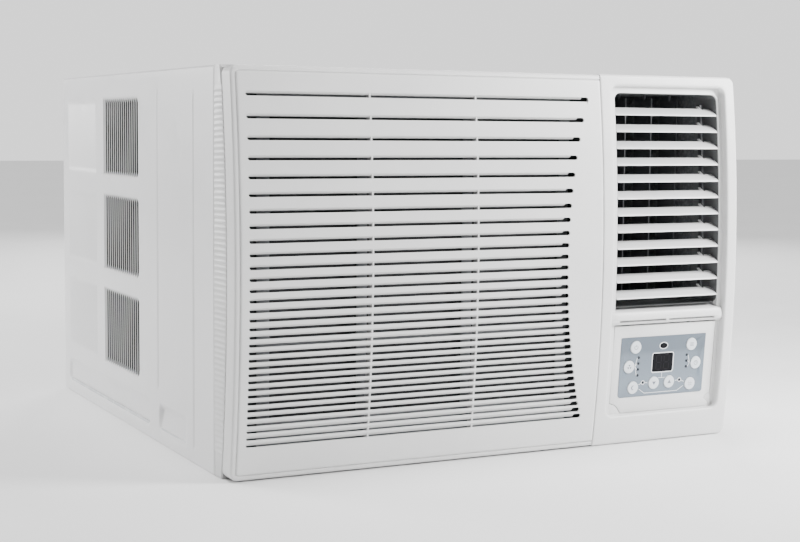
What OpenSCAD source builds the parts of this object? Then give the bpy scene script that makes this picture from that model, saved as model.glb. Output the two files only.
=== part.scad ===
// Window air conditioner: a slide-in chassis in a sheet metal case, with a
// bowed moulded front that holds the hinged intake grille, the air outlet
// and the control panel.
// Frame: X to the right, Y to the back, Z up. The origin is on the floor,
// under the middle of the overall box. The front faces -Y.

/* [Body] */
// Overall width of the case and of the front
body_w = 650; // [540:5:780]
// Overall height of the case and of the front
body_h = 437; // [420:1:530]
// Depth of the sheet metal case behind the moulded front
case_d = 614; // [540:2:740]
// Depth of the moulded front at its top and bottom edges
front_d = 45; // [42:1:60]
// How far the front face bows out at mid height
bow = 16; // [8:1:24]
// Thickness of the case sheet
sheet = 1; // [0.8:0.1:1.6]
// Gap between the case and the moulded front
case_gap = 1.5; // [0.5:0.1:3]

/* [Moulded front] */
// Width of the outlet and control section on the right
section_w = 195; // [190:1:235]
// Wall of the moulded front
frame_wall = 3; // [2:0.1:4]
// Wall of the outlet duct and of the control bay
duct_wall = 2.5; // [2:0.1:3.5]
// Plain margin on each side of the outlet
outlet_margin = 21; // [18:0.5:26]
// Margin above the outlet
outlet_top_margin = 21; // [18:0.5:30]
// Height of the chin's upper edge, which is the outlet's lower edge
chin_top_z = 164; // [158:1:180]
// Height of the control bay's upper edge
bay_top_z = 143.5; // [140:0.5:150]
// Height of the control bay's lower edge
bay_bottom_z = 33; // [28:0.5:36]

/* [Intake grille] */
// Wall of the grille panel
grille_wall = 3; // [2:0.1:4]
// Depth of the grille panel's side walls
grille_depth = 24; // [22:0.5:28]
// Gap round the grille panel
grille_gap = 1; // [0.5:0.1:2]
// Gap between the grille panel and the ribbed edge of the front behind it
strip_gap = 2; // [1:0.5:4]
// Radius of the grille panel's left corners
corner_r = 9; // [6:0.5:14]
// Number of rows of slots
slot_rows = 34; // [20:1:36]
// Height of one slot
slot_h = 3.8; // [2.5:0.1:4.5]
// Distance from the top of the panel to the first row
slot_top = 29; // [24:1:40]
// Distance from the bottom of the panel to the last row
slot_bottom = 31; // [24:1:40]
// Distance from the side of the panel to the slots
slot_side = 16; // [15:1:24]
// Plain width at mid height between the slots and the seam
slot_plain = 47; // [40:1:60]
// Radius of the arc that the slots' right ends lie on
slot_arc_r = 610; // [500:10:1200]
// Width of a rib that crosses the slots
rib_w = 5; // [3:0.5:8]

/* [Air filter] */
// Thickness of the filter frame
filter_t = 4; // [3:0.5:5]
// Width of the filter frame's border
filter_border = 8; // [6:0.5:12]
// Clearance in front of and behind the filter in its rails
filter_clear = 0.3; // [0.2:0.05:0.6]

/* [Air vanes] */
// Number of horizontal vanes
vanes = 12; // [12:1:12]
// Front to back width of a vane
vane_chord = 18; // [14:0.5:19]
// Thickness of a vane
vane_t = 1.8; // [1.4:0.1:2.4]
// Tilt of the vanes at rest, front edge down, in degrees
vane_tilt = 28; // [10:1:35]
// Distance of the vane pivots behind the front face
vane_set = 17; // [15:0.5:20]
// Height left free above the first vane
vane_top_gap = 21; // [16:0.5:30]
// Height left free below the last vane
vane_bottom_gap = 15; // [12:0.5:20]
// Radius of a vane's pivot pins
vane_pin_r = 1.5; // [1.2:0.1:2]
// Reach of a vane's crank from pivot to link pin
vane_crank = 12.5; // [12:0.5:14]

/* [Guide blades] */
// Number of upright guide blades behind the vanes
guides = 4; // [4:1:4]
// Front to back width of a guide blade
guide_chord = 34; // [26:1:36]
// Radius of a guide blade's pivot pins
guide_pin_r = 2; // [1.5:0.1:2.5]
// Distance of the guide pivots behind the front of the case
guide_set = 28; // [26:0.5:32]
// Reach of a guide blade's crank
guide_crank = 9; // [8:0.5:10]

/* [Controls] */
// Depth of the control panel behind the front face
panel_set = 9; // [7:0.5:11]
// Lean of the control panel, in degrees
panel_lean = 4.9; // [3:0.1:6]
// Thickness of the control bezel
bezel_t = 3; // [2.5:0.1:4]
// Radius of a button
button_r = 7.6; // [6:0.1:8]
// Radial gap round a button
button_gap = 0.3; // [0.2:0.05:0.5]
// Travel of a button
button_travel = 1; // [0.6:0.1:1.4]
// Width of the display window
display_w = 30; // [24:0.5:32]
// Height of the display window
display_h = 22.8; // [18:0.1:24]
// Width of the printed overlay
overlay_w = 124; // [118:0.5:130]
// Height of the printed overlay
overlay_h = 73; // [70:0.5:80]

/* [Air system] */
// Distance of the fan shaft from the left side of the case
shaft_from_left = 265; // [240:5:290]
// Radius of the blower wheel
blower_r = 120; // [100:1:125]
// Front to back width of the blower wheel
blower_w = 104; // [80:1:110]
// Number of blades on the blower wheel
blower_blades = 30; // [20:1:36]
// Radius of the motor's body
motor_r = 62; // [50:1:66]
// Length of the motor's body
motor_l = 95; // [80:1:110]
// Radius of the fan shaft
shaft_r = 6; // [5:0.5:8]
// Running clearance of the shaft in the motor
shaft_clear = 0.05; // [0.02:0.01:0.1]
// Gap between the condenser fan and the floor of the base pan
fan_floor_gap = 27; // [24:1:40]
// Number of blades on the condenser fan
fan_blades = 5; // [3:1:7]
// Depth of the evaporator coil
evap_d = 42; // [30:1:44]
// Depth of the condenser coil
cond_d = 44; // [30:1:50]

/* [Cooling circuit] */
// Radius of the compressor's shell
comp_r = 70; // [60:1:74]
// Height of the compressor's shell
comp_h = 225; // [180:1:240]
// Radius of the accumulator
accu_r = 26; // [20:1:30]
// Radius of the large refrigerant pipes
pipe_r = 4.8; // [3:0.1:5]
// Radius of the thin liquid line
line_r = 2.4; // [1.5:0.1:3]

/* [Base pan] */
// Height of the base pan's walls
pan_h = 18; // [12:1:24]
// Thickness of the base pan
pan_t = 1.2; // [1:0.1:2]
// Hole for a bracket bolt in the base pan
bracket_hole_r = 3.3; // [2.5:0.1:4.5]
// Side to side spacing of the bracket holes
bracket_x = 460; // [380:5:500]
// Front to back spacing of the bracket holes
bracket_y = 300; // [240:5:340]

/* [Hidden] */

$fn = 48;
bow_fn = 720;           // the bowed face is a slice of a very large cylinder
cut = 1;                // how far a cutting tool passes the surface it cuts

// Main planes
hw = body_w / 2;
y_front = -(case_d + front_d + bow) / 2;
y_case = y_front + bow + front_d;
y_back = y_case + case_d;
face_r = (pow(body_h / 2, 2) + bow * bow) / (2 * bow);
seam_x = hw - section_w;

// Depth of the bowed face at height z
function face_y(z) = y_front + face_r - sqrt(face_r * face_r - pow(z - body_h / 2, 2));

// Grille panel and its slots
grille_x0 = -hw + grille_gap;
grille_x1 = seam_x - grille_gap / 2;
grille_z0 = grille_gap;
grille_z1 = body_h - grille_gap;
slot_x0 = grille_x0 + slot_side;
slot_mid_z = body_h / 2;
slot_pitch_ratio = 2.1;   // how much wider than the last pitch the first one is
slot_even_rows = 22;      // rows after which the pitch stays even
function slot_step(i) = 1 + slot_pitch_ratio * pow(max(0, 1 - i / slot_even_rows), 2);
function slot_sum(i) = i <= 0 ? 0 : slot_sum(i - 1) + slot_step(i - 1);
slot_z_high = grille_z1 - slot_top;
slot_z_low = grille_z0 + slot_bottom;
function slot_z(i) =
  slot_z_high - (slot_z_high - slot_z_low) * slot_sum(i) / slot_sum(slot_rows - 1);
function slot_x1(z) =
  grille_x1 - slot_plain + slot_arc_r - sqrt(pow(slot_arc_r, 2) - pow(z - slot_mid_z, 2));
rib_shift = 12;           // the ribs stand a little right of the thirds
rib_pitch = (slot_x1(slot_mid_z) - slot_x0) / 3;
rib_x = [for (k = [1, 2]) slot_x0 + k * rib_pitch + rib_shift];

// Grille hinge, in the front's lugs near the top
hinge_set = 17;           // behind the front's upper edge
hinge_drop = 7;           // below the top
hinge_y = y_front + bow + hinge_set;
hinge_z = body_h - hinge_drop;
hinge_pin_r = 2;
hinge_hole_clear = 0.05;
lug_r = 2.6;
lug_t = 4;
lug_gap = 0.5;
lug_post_gap = 2;         // the lug's post starts this far behind the relief
relief_depth = 30;        // open space in the front's edge that the swinging grille uses
relief_h = 21;
relief_y = y_front + bow + relief_depth;
flange_set = 3;           // the tray's back flange stands this far before the case
flange_t = 3;
flange_left = 15;         // width of the flange on each side of its window
flange_right = 12;
flange_low = 16;
flange_high = 14;
lug_back = y_case - flange_set;

// Filter and its rails in the grille
filter_set = 5;           // behind the front's upper edge
filter_y0 = y_front + bow + filter_set;
filter_y1 = filter_y0 + filter_t;
rail_w = 11;
rail_t = 1.9;
rail_bite = 3;            // how far the rails lap over the filter's edges
rail_end = 11;            // from the panel's top or bottom edge to a rail
bite = 0.1;               // how far fused pieces reach into each other
slot_rib_gap = 0.6;       // from the ribs behind the slots to the filter
filter_x0 = grille_x0 + grille_wall + rail_w - rail_bite;
filter_x1 = grille_x1 - grille_wall - rail_w + rail_bite;
filter_z0 = 14;
filter_z1 = body_h - 13;
rail_reach = 104;
filter_bars_v = 5;
filter_bars_h = 4;
filter_bar_w = 3;
mesh_t = 0.6;
filter_tab_w = 60;
filter_tab_h = 7;
filter_tab_x = 120;       // pull tabs on both sides of the filter's middle
filter_slot_clear = 0.5;

// Outlet duct
outlet_x0 = seam_x + outlet_margin;
outlet_x1 = hw - outlet_margin;
outlet_cx = (outlet_x0 + outlet_x1) / 2;
outlet_z0 = chin_top_z;
outlet_z1 = body_h - outlet_top_margin;
outlet_r = 8;

// Vanes: pivots follow the bowed face
vane_pitch = (outlet_z1 - vane_top_gap - outlet_z0 - vane_bottom_gap) / (vanes - 1);
function vane_z(i) = outlet_z1 - vane_top_gap - i * vane_pitch;
function vane_y(i) = face_y(vane_z(i)) + vane_set;
vane_side_gap = 1;
vane_hole_clear = 0.08;
vane_front = 10.5;        // part of the chord that lies in front of the pivot
vane_notch = 4.5;         // the rear edge is cut back to here beside the link
pin_root = 2;             // length of a pin that is moulded into its blade
ear_lap = 4;              // where the crank's ear starts behind the pivot
ear_end = 1.8;            // the ear reaches this far past its pin
link_pin_r = 1.2;
link_pin_clear = 0.15;
link_w = 6;
link_t = 2.5;
link_from_right = 14;
link_gap = 0.2;           // between an ear and the link
link_side_gap = 0.8;      // between the link and the far side of the notch
link_pin_past = 0.3;
link_x = outlet_x1 - link_from_right;
ear_t = 2;

// Guide blades
guide_y = y_case + guide_set;
guide_pitch = (outlet_x1 - outlet_x0) / guides;
function guide_x(i) = outlet_x0 + (i + 0.5) * guide_pitch;
guide_t = 1.6;
guide_end_gap = 5;
guide_hole_clear = 0.08;
guide_front_share = 0.45; // share of a blade's chord in front of its pivot
guide_notch = 4.5;        // half the length of the notch over the link
guide_notch_w = 3;
guide_notch_rise = 1.6;
guide_pin_rise = 3;       // how far a blade's link pin reaches up into the blade
guide_link_end = 4;
guide_link_z = outlet_z0 + 9;
guide_link_t = 2.4;
guide_link_w = 6;
guide_pin_clear = 0.15;
swing_drop = 3;
swing_top = outlet_z0 - swing_drop;   // where blade 1's pin meets its coupling dog

// Control panel frame: u to the right, v up, w back from the panel's front
panel_z = 89.5;
panel_shift = 0.5;
panel_cx = outlet_cx + panel_shift;
panel_y = face_y(panel_z) + panel_set;
bezel_side_gap = 0.7;
bezel_low_gap = 2.5;
bezel_high_gap = 1;
bezel_u = (outlet_x1 - outlet_x0) / 2 - bezel_side_gap;
bezel_v0 = bay_bottom_z - panel_z + bezel_low_gap;
bezel_v1 = bay_top_z - panel_z - bezel_high_gap;
bezel_post_u = 64;
bezel_post_w = 6;
bezel_post_v = 2;         // height of the posts' middle above the panel's
bezel_post_l = 60;
overlay_t = 0.5;
overlay_v = 1.7;          // height of the overlay's middle above the panel's
display_v = 5.4;
ir_v = 26;
ir_w = 7.4;
ir_h = 4.8;
led_r = 1.3;
led_u = 35.6;
led_pitch = 7.2;
led_left_v = 13;
led_right_v = 12.4;
led_clear = 0.1;
led_proud = 0.2;
window_clear = 0.4;
window_proud = 0.3;
led_low_u = 27;
led_low_v = -18;
board_w0 = 11;
board_t = 1.6;
board_side = 4;
board_low = 8;
board_high = 6;
button_proud = 1.3;
cap_rim_r = 8.6;          // rim behind the bezel that keeps the button in
cap_rim_w0 = 4.2;
cap_rim_t = 1;
stem_r = 2;
stem_clear = 0.2;         // left between a pressed stem and the board
stem_end = board_w0 - button_travel - stem_clear;
button_uv = [[-41, 26], [41, 25.6], [-49, 2.6], [49, 2.2], [-41.5, -23.2],
  [42.5, -23.4], [-11.3, -19.2], [11.3, -19.2]];

// Stations behind the front of the case
shaft_x = -hw + shaft_from_left;
shaft_z = body_h / 2;
evap_set = 8;             // behind the front of the case
evap_left = 20;
evap_right = 16;
evap_z0 = 40;
evap_top = 17;
evap_y0 = y_case + evap_set;
evap_x0 = -hw + evap_left;
evap_x1 = seam_x - evap_right;
evap_z1 = body_h - evap_top;
scroll_set = 58;
scroll_y0 = y_case + scroll_set;
scroll_wall = 2.5;
blower_gap = 6;
blower_back_gap = 10;     // extra room behind the wheel for its hub
scroll_y1 = scroll_y0 + 2 * scroll_wall + 2 * blower_gap + blower_w + blower_back_gap;
scroll_tongue = 12;
scroll_growth = 0.23;     // growth of the scroll's radius in mm per degree
scroll_from = 50;         // the spiral runs from this angle to the next one
scroll_to = 275;
scroll_z0 = 33;
scroll_inlet_lap = 22;    // how far the inlet's rim covers the wheel
scroll_inlet_r = blower_r - scroll_inlet_lap;
scroll_shaft_gap = 4;
bulkhead_left = 3;        // the scroll's back wall fills the case from side to side
bulkhead_right = 14;
bulkhead_z0 = 22;
bulkhead_top = 5;
wheel_rim = 14;
wheel_rim_t = 4;
wheel_back_t = 3;
wheel_hub_r = 18;
wheel_hub_l = 40;
wheel_blade_t = 1.2;
wheel_blade_lean = 32;
motor_gap = 16;
motor_y0 = scroll_y1 + motor_gap;
motor_y1 = motor_y0 + motor_l;
motor_end_l = 8;          // the motor's end bells are smaller than its body
cond_set = 25;            // from the back of the case to the condenser
cond_left = 18;
cond_right = 30;
cond_lift = 4;
cond_top = 15;
cond_y1 = y_back - cond_set;
cond_y0 = cond_y1 - cond_d;
shroud_set = 46;
shroud_t = 2;
shroud_left = 4;
shroud_right = 16;
shroud_top = 4;
shroud_ring_l = 22;
shroud_y = cond_y0 - shroud_set;
fan_w = 34;
fan_set = 24;             // from the shroud forward to the middle of the fan
fan_y = shroud_y - fan_set;
fan_r = shaft_z - pan_t - fan_floor_gap;
fan_ring_t = 3;
fan_ring_set = 8;         // the slinger ring starts behind the blades' front
fan_hub_r = 34;
fan_blade_root = 30;
fan_blade_t = 2.4;
fan_blade_w = 84;
fan_blade_pitch = 14;
shroud_clear = 7;
shaft_front = 12;
shaft_back = 4;
shaft_y0 = scroll_y0 + shaft_front;
shaft_y1 = fan_y + fan_w / 2 + shaft_back;
bracket_t = 2.5;
bracket_half = 70;
bracket_foot = 60;
bracket_rise = 40;        // the bracket stands this far above the shaft
bracket_shaft_gap = 6;

// Compressor and pipes
comp_from_right = 108;
comp_shift = 10;          // behind the middle of the machine space
comp_x = hw - comp_from_right;
comp_y = (scroll_y1 + shroud_y) / 2 + comp_shift;
comp_foot_z = 22;
comp_foot_t = 3;
comp_foot_r = 15;
comp_skirt = 6;
comp_dome = 26;
comp_dish = 16;           // how much smaller the flat of the shell's bottom is
comp_dish_h = 18;
mount_r = 11;
mount_stud_r = 5;
mount_clear = 0.1;
mount_stud_top = 6;
comp_z1 = comp_foot_z + comp_foot_t + comp_h;
mount_pcd_r = comp_r + 10;
accu_gap = 4;
accu_shift = 12;
accu_x = comp_x - comp_r - accu_r - accu_gap;
accu_y = comp_y - accu_shift;
accu_z0 = 70;
accu_h = 130;
accu_shoulder = 16;
accu_neck = 0.6;          // share of the radius at the domed ends
pipe_wall_gap = 2.4;
pipe_x = hw - sheet - pipe_r - pipe_wall_gap;

// Colours
white_case = [0.90, 0.90, 0.90];
white_front = [0.94, 0.94, 0.93];
vane_white = [0.92, 0.93, 0.93];
panel_blue = [0.60, 0.64, 0.69];
dark = [0.12, 0.12, 0.13];
metal = [0.72, 0.74, 0.76];
copper = [0.72, 0.42, 0.25];

// ---- shared shapes ----

module block(x0, x1, y0, y1, z0, z1) {
  translate([x0, y0, z0]) cube([x1 - x0, y1 - y0, z1 - z0]);
}

module rod_x(r, x0, x1, y, z) {
  translate([x0, y, z]) rotate([0, 90, 0]) cylinder(r = r, h = x1 - x0);
}

module rod_x_fine(r, x0, x1, y, z) {
  translate([x0, y, z]) rotate([0, 90, 0]) cylinder(r = r, h = x1 - x0, $fn = bow_fn);
}

module rod_y(r, y0, y1, x, z) {
  translate([x, y1, z]) rotate([90, 0, 0]) cylinder(r = r, h = y1 - y0);
}

module rod_z(r, z0, z1, x, y) {
  translate([x, y, z0]) cylinder(r = r, h = z1 - z0);
}

// Everything behind the bowed face, set back by off, as far as y1
module bowed(x0, x1, z0, z1, off, y1) {
  intersection() {
    block(x0, x1, y_front - cut, y1, z0, z1);
    rod_x_fine(face_r - off, x0 - cut, x1 + cut, y_front + face_r, body_h / 2);
  }
}

function arc(cx, cz, r, a0, a1, n) =
  [for (i = [0:n]) [cx + r * cos(a0 + (a1 - a0) * i / n), cz + r * sin(a0 + (a1 - a0) * i / n)]];

// Outline of a rectangle with left corners of radius rl and right ones of rr
function round_rect(x0, x1, z0, z1, rl, rr) = concat(
  rr > 0 ? arc(x1 - rr, z0 + rr, rr, -90, 0, 6) : [[x1, z0]],
  rr > 0 ? arc(x1 - rr, z1 - rr, rr, 0, 90, 6) : [[x1, z1]],
  rl > 0 ? arc(x0 + rl, z1 - rl, rl, 90, 180, 6) : [[x0, z1]],
  rl > 0 ? arc(x0 + rl, z0 + rl, rl, 180, 270, 6) : [[x0, z0]]);

module plate_y(points, y0, y1) {
  translate([0, y1, 0]) rotate([90, 0, 0]) linear_extrude(height = y1 - y0) polygon(points);
}

// ---- sheet metal case ----

guard_set = 5;            // the rear guard stands this far inside the case's back edge
guard_y = y_back - guard_set;

module base_pan() {
  color(metal) difference() {
    block(-hw + sheet, hw - sheet, y_case + case_gap, guard_y, 0, pan_h);
    block(-hw + sheet + pan_t, hw - sheet - pan_t, y_case + case_gap + pan_t,
      guard_y - pan_t, pan_t, pan_h + cut);
    for (sx = [-1, 1], sy = [-1, 1])
      rod_z(bracket_hole_r, -cut, pan_t + cut, sx * bracket_x / 2,
        (y_case + y_back) / 2 + sy * bracket_y / 2);
  }
}

// Upright louvre slits: groups of slits in rows, from front to back
louvre_rows = 3;
louvre_slits = 17;
louvre_front = 264;
louvre_pitch = 8.8;
louvre_open = 3;
louvre_h = 97;
louvre_low = 65;
louvre_row_pitch = 122;
louvre_back = 449;
louvre_back_slits = 15;
louvre_back_pitch = 9.2;

module side_panel(side) {
  x0 = side < 0 ? -hw : hw - sheet;
  color(white_case) difference() {
    block(x0, x0 + sheet, y_case + case_gap, y_back, 0, body_h - sheet);
    for (row = [0:louvre_rows - 1]) {
      z0 = louvre_low + row * louvre_row_pitch;
      for (i = [0:louvre_slits - 1])
        block(x0 - cut, x0 + sheet + cut, y_case + louvre_front + i * louvre_pitch,
          y_case + louvre_front + i * louvre_pitch + louvre_open, z0, z0 + louvre_h);
      for (i = [0:louvre_back_slits - 1])
        block(x0 - cut, x0 + sheet + cut, y_case + louvre_back + i * louvre_back_pitch,
          y_case + louvre_back + i * louvre_back_pitch + louvre_open, z0, z0 + louvre_h);
    }
  }
}

module cabinet_left_panel() side_panel(-1);
module cabinet_right_panel() side_panel(1);

top_slits = 12;
top_slit_pitch = 12;
top_slit_l = 150;
top_slit_x = 120;         // two groups, on both sides of the middle
top_slit_set = 300;
top_slit_y = y_case + top_slit_set;

module cabinet_top_panel() {
  color(white_case) difference() {
    block(-hw, hw, y_case + case_gap, y_back, body_h - sheet, body_h);
    for (side = [-1, 1], i = [0:top_slits - 1])
      block(side * top_slit_x - top_slit_l / 2, side * top_slit_x + top_slit_l / 2,
        top_slit_y + i * top_slit_pitch, top_slit_y + i * top_slit_pitch + louvre_open,
        body_h - sheet - cut, body_h + cut);
  }
}

guard_t = 1.2;
guard_cols = 26;
guard_rows = 3;
guard_edge = 24;
guard_bar = 7;
guard_tie = 18;

module rear_guard() {
  w = (2 * (hw - guard_edge)) / guard_cols;
  h = (body_h - 2 * guard_edge) / guard_rows;
  color(white_case) difference() {
    block(-hw + sheet, hw - sheet, guard_y, guard_y + guard_t, 1, body_h - sheet);
    for (i = [0:guard_cols - 1], j = [0:guard_rows - 1])
      block(-hw + guard_edge + i * w + guard_bar / 2, -hw + guard_edge + (i + 1) * w - guard_bar / 2,
        guard_y - cut, guard_y + guard_t + cut,
        guard_edge + j * h + guard_tie / 2, guard_edge + (j + 1) * h - guard_tie / 2);
  }
}

screw_head_r = 4;
screw_head_t = 2.2;
screw_side = 12;
screw_end = 14;

module guard_screws() {
  color("silver") for (sx = [-1, 1], z = [screw_end, body_h / 2, body_h - screw_end])
    rod_y(screw_head_r, guard_y + guard_t, guard_y + guard_t + screw_head_t,
      sx * (hw - screw_side), z);
}

// ---- moulded front ----

module hinge_lug(x0) {
  rod_x(lug_r, x0, x0 + lug_t, hinge_y, hinge_z);
  block(x0, x0 + lug_t, hinge_y, lug_back, hinge_z - lug_r, hinge_z + lug_r);
  block(x0, x0 + lug_t, relief_y + lug_post_gap, lug_back, hinge_z - lug_r,
    body_h - frame_wall + bite);
}

lug_left_x = grille_x0 + grille_wall + lug_gap;
lug_right_x = grille_x1 - grille_wall - lug_gap - lug_t;

module front_tray() {
  difference() {
    bowed(-hw, seam_x + frame_wall, 0, body_h, grille_depth + strip_gap, y_case);
    block(-hw + frame_wall, seam_x, y_front - cut, y_case + cut, frame_wall,
      body_h - frame_wall);
    block(-hw - cut, seam_x, y_front - cut, relief_y, body_h - relief_h, body_h + cut);
  }
  difference() {
    block(-hw + frame_wall - bite, seam_x + bite, lug_back - flange_t, lug_back,
      frame_wall - bite, body_h - frame_wall + bite);
    block(-hw + flange_left, seam_x - flange_right, lug_back - flange_t - cut,
      lug_back + cut, flange_low, body_h - flange_high);
  }
  hinge_lug(lug_left_x);
  hinge_lug(lug_right_x);
}

duct_lap = 1;             // the duct walls start this far inside the face
bay_back = 18;            // the bay's walls end this far before the case
bay_corner_r = 1;
chin_slit_end = 6;        // from the outlet's side to the first drain slit
chin_slit_l = 68;
chin_slit_pitch = 72;
chin_slit_low = 0.6;      // above the control bay's wall
chin_slit_h = 1.8;

module outlet_section() {
  difference() {
    bowed(seam_x, hw, 0, body_h, 0, y_case);
    bowed(seam_x + frame_wall, hw - frame_wall, frame_wall, body_h - frame_wall,
      frame_wall, y_case + cut);
  }
  bowed(outlet_x0 - duct_wall, outlet_x1 + duct_wall, outlet_z0 - duct_wall,
    outlet_z1 + duct_wall, duct_lap, y_case);
  bowed(outlet_x0 - duct_wall, outlet_x1 + duct_wall, bay_bottom_z - duct_wall,
    bay_top_z + duct_wall, duct_lap, y_case - bay_back);
}

module front_frame() {
  color(white_front) difference() {
    union() {
      front_tray();
      outlet_section();
    }
    plate_y(round_rect(outlet_x0, outlet_x1, outlet_z0, outlet_z1, outlet_r, outlet_r),
      y_front - cut, y_case + cut);
    plate_y(round_rect(outlet_x0, outlet_x1, bay_bottom_z, bay_top_z, bay_corner_r,
      bay_corner_r), y_front - cut, y_case + cut);
    for (k = [0, 1]) {
      x0 = outlet_x0 + chin_slit_end + k * chin_slit_pitch;
      z0 = bay_top_z + duct_wall + chin_slit_low;
      block(x0, x0 + chin_slit_l, y_front - cut, y_front + bow, z0, z0 + chin_slit_h);
    }
    for (i = [0:vanes - 1])
      rod_x(vane_pin_r + vane_hole_clear, outlet_x0 - duct_wall - cut,
        outlet_x1 + duct_wall + cut, vane_y(i), vane_z(i));
    rod_x(hinge_pin_r, lug_left_x - cut, lug_left_x + lug_t + cut, hinge_y, hinge_z);
    rod_x(hinge_pin_r, lug_right_x - cut, lug_right_x + lug_t + cut, hinge_y, hinge_z);
  }
}

pin_bite = 1.6;           // how far a pin reaches into the grille's side wall
pin_end_gap = 0.2;

module grille_hinge_pins() {
  color("silver") {
    rod_x(hinge_pin_r, grille_x0 + grille_wall - pin_bite, lug_left_x + lug_t, hinge_y, hinge_z);
    rod_x(hinge_pin_r, lug_right_x, grille_x1 - grille_wall + pin_bite, hinge_y, hinge_z);
  }
}

// ---- intake grille and filter ----

module rail_pair(x0, x1, z0, z1) {
  bowed(x0, x1, z0, z1, grille_wall - bite, filter_y0 - filter_clear);
  block(x0, x1, filter_y1 + filter_clear, filter_y1 + filter_clear + rail_t, z0, z1);
}

module intake_grille() {
  color(white_front) difference() {
    union() {
      difference() {
        intersection() {
          plate_y(round_rect(grille_x0, grille_x1, grille_z0, grille_z1, corner_r, 0),
            y_front - cut, y_case);
          bowed(grille_x0 - cut, grille_x1 + cut, 0, body_h, 0, y_case);
        }
        intersection() {
          plate_y(round_rect(grille_x0 + grille_wall, grille_x1 - grille_wall,
            grille_z0 + grille_wall, grille_z1 - grille_wall, corner_r - grille_wall, 0),
            y_front - cut, y_case + cut);
          bowed(grille_x0, grille_x1, 0, body_h, grille_wall, y_case + cut);
        }
        bowed(grille_x0 - cut, grille_x1 + cut, -cut, body_h + cut, grille_depth, y_case + cut);
      }
      for (x = rib_x)
        bowed(x - rib_w / 2, x + rib_w / 2, grille_z0 + grille_wall - bite,
          grille_z1 - rail_end, grille_wall - bite, filter_y0 - slot_rib_gap);
      for (z0 = [grille_z0 + rail_end, grille_z1 - rail_end - rail_reach]) {
        rail_pair(grille_x0 + grille_wall - bite, grille_x0 + grille_wall + rail_w, z0,
          z0 + rail_reach);
        rail_pair(grille_x1 - grille_wall - rail_w, grille_x1 - grille_wall + bite, z0,
          z0 + rail_reach);
      }
    }
    for (i = [0:slot_rows - 1]) {
      z = slot_z(i);
      edges = [slot_x0, rib_x[0], rib_x[1], slot_x1(z)];
      for (k = [0:2])
        block(edges[k] + (k > 0 ? rib_w / 2 : 0), edges[k + 1] - (k < 2 ? rib_w / 2 : 0),
          y_front - cut, filter_y0 - slot_rib_gap, z - slot_h / 2, z + slot_h / 2);
    }
    // slot in the top wall that the filter lifts out through
    block(filter_x0 - filter_slot_clear, filter_x1 + filter_slot_clear,
      filter_y0 - filter_slot_clear, filter_y1 + filter_slot_clear,
      grille_z1 - grille_wall - cut, grille_z1 + cut);
    // notches that let the top wall turn past the hinge lugs
    for (x = [lug_left_x, lug_right_x])
      block(x - lug_gap, x + lug_t + lug_gap, hinge_y - lug_r - 2 * lug_gap, y_case,
        hinge_z - lug_r - lug_gap, grille_z1 + cut);
    rod_x(hinge_pin_r + hinge_hole_clear, grille_x0 + grille_wall - pin_bite - pin_end_gap,
      grille_x0 + grille_wall + cut, hinge_y, hinge_z);
    rod_x(hinge_pin_r + hinge_hole_clear, grille_x1 - grille_wall - cut,
      grille_x1 - grille_wall + pin_bite + pin_end_gap, hinge_y, hinge_z);
  }
}

module filter_frame() {
  bars_t = filter_t / 2;
  in_x0 = filter_x0 + filter_border;
  in_x1 = filter_x1 - filter_border;
  in_z0 = filter_z0 + filter_border;
  in_z1 = filter_z1 - filter_border;
  color([0.83, 0.85, 0.86]) {
    difference() {
      union() {
        block(filter_x0, filter_x1, filter_y0, filter_y1, filter_z0, filter_z1);
        for (side = [-1, 1])
          translate([(filter_x0 + filter_x1) / 2 + side * filter_tab_x, 0, 0])
            block(-filter_tab_w / 2, filter_tab_w / 2, filter_y0, filter_y1,
              filter_z1 - bite, filter_z1 + filter_tab_h);
      }
      block(in_x0, in_x1, filter_y0 - cut, filter_y1 + cut, in_z0, in_z1);
    }
    for (i = [1:filter_bars_v]) {
      x = in_x0 + (in_x1 - in_x0) * i / (filter_bars_v + 1);
      block(x - filter_bar_w / 2, x + filter_bar_w / 2, filter_y0, filter_y0 + bars_t,
        in_z0 - bite, in_z1 + bite);
    }
    for (j = [1:filter_bars_h]) {
      z = in_z0 + (in_z1 - in_z0) * j / (filter_bars_h + 1);
      block(in_x0 - bite, in_x1 + bite, filter_y0, filter_y0 + bars_t,
        z - filter_bar_w / 2, z + filter_bar_w / 2);
    }
  }
}

module filter_mesh() {
  color([0.35, 0.38, 0.42])
    block(filter_x0 + filter_border, filter_x1 - filter_border, filter_y0 + filter_t / 2,
      filter_y0 + filter_t / 2 + mesh_t, filter_z0 + filter_border, filter_z1 - filter_border);
}

// ---- air vanes ----

module vane(i) {
  x0 = outlet_x0 + vane_side_gap;
  x1 = outlet_x1 - vane_side_gap;
  color(vane_white) translate([0, vane_y(i), vane_z(i)]) rotate([vane_tilt, 0, 0]) {
    difference() {
      block(x0, x1, -vane_front, vane_chord - vane_front, -vane_t / 2, vane_t / 2);
      block(link_x, link_x + link_gap + link_t + link_side_gap, vane_notch,
        vane_chord, -vane_t, vane_t);
    }
    rod_x(vane_pin_r, outlet_x0 - duct_wall, x0 + pin_root, 0, 0);
    rod_x(vane_pin_r, x1 - pin_root, outlet_x1 + duct_wall, 0, 0);
    block(link_x - ear_t, link_x, ear_lap, vane_crank + ear_end, -vane_t / 2, vane_t / 2);
    rod_x(link_pin_r, link_x - ear_t, link_x + link_pin_past + link_t, vane_crank, 0);
  }
}

module vane_01() vane(0);
module vane_02() vane(1);
module vane_03() vane(2);
module vane_04() vane(3);
module vane_05() vane(4);
module vane_06() vane(5);
module vane_07() vane(6);
module vane_08() vane(7);
module vane_09() vane(8);
module vane_10() vane(9);
module vane_11() vane(10);
module vane_12() vane(11);

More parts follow.
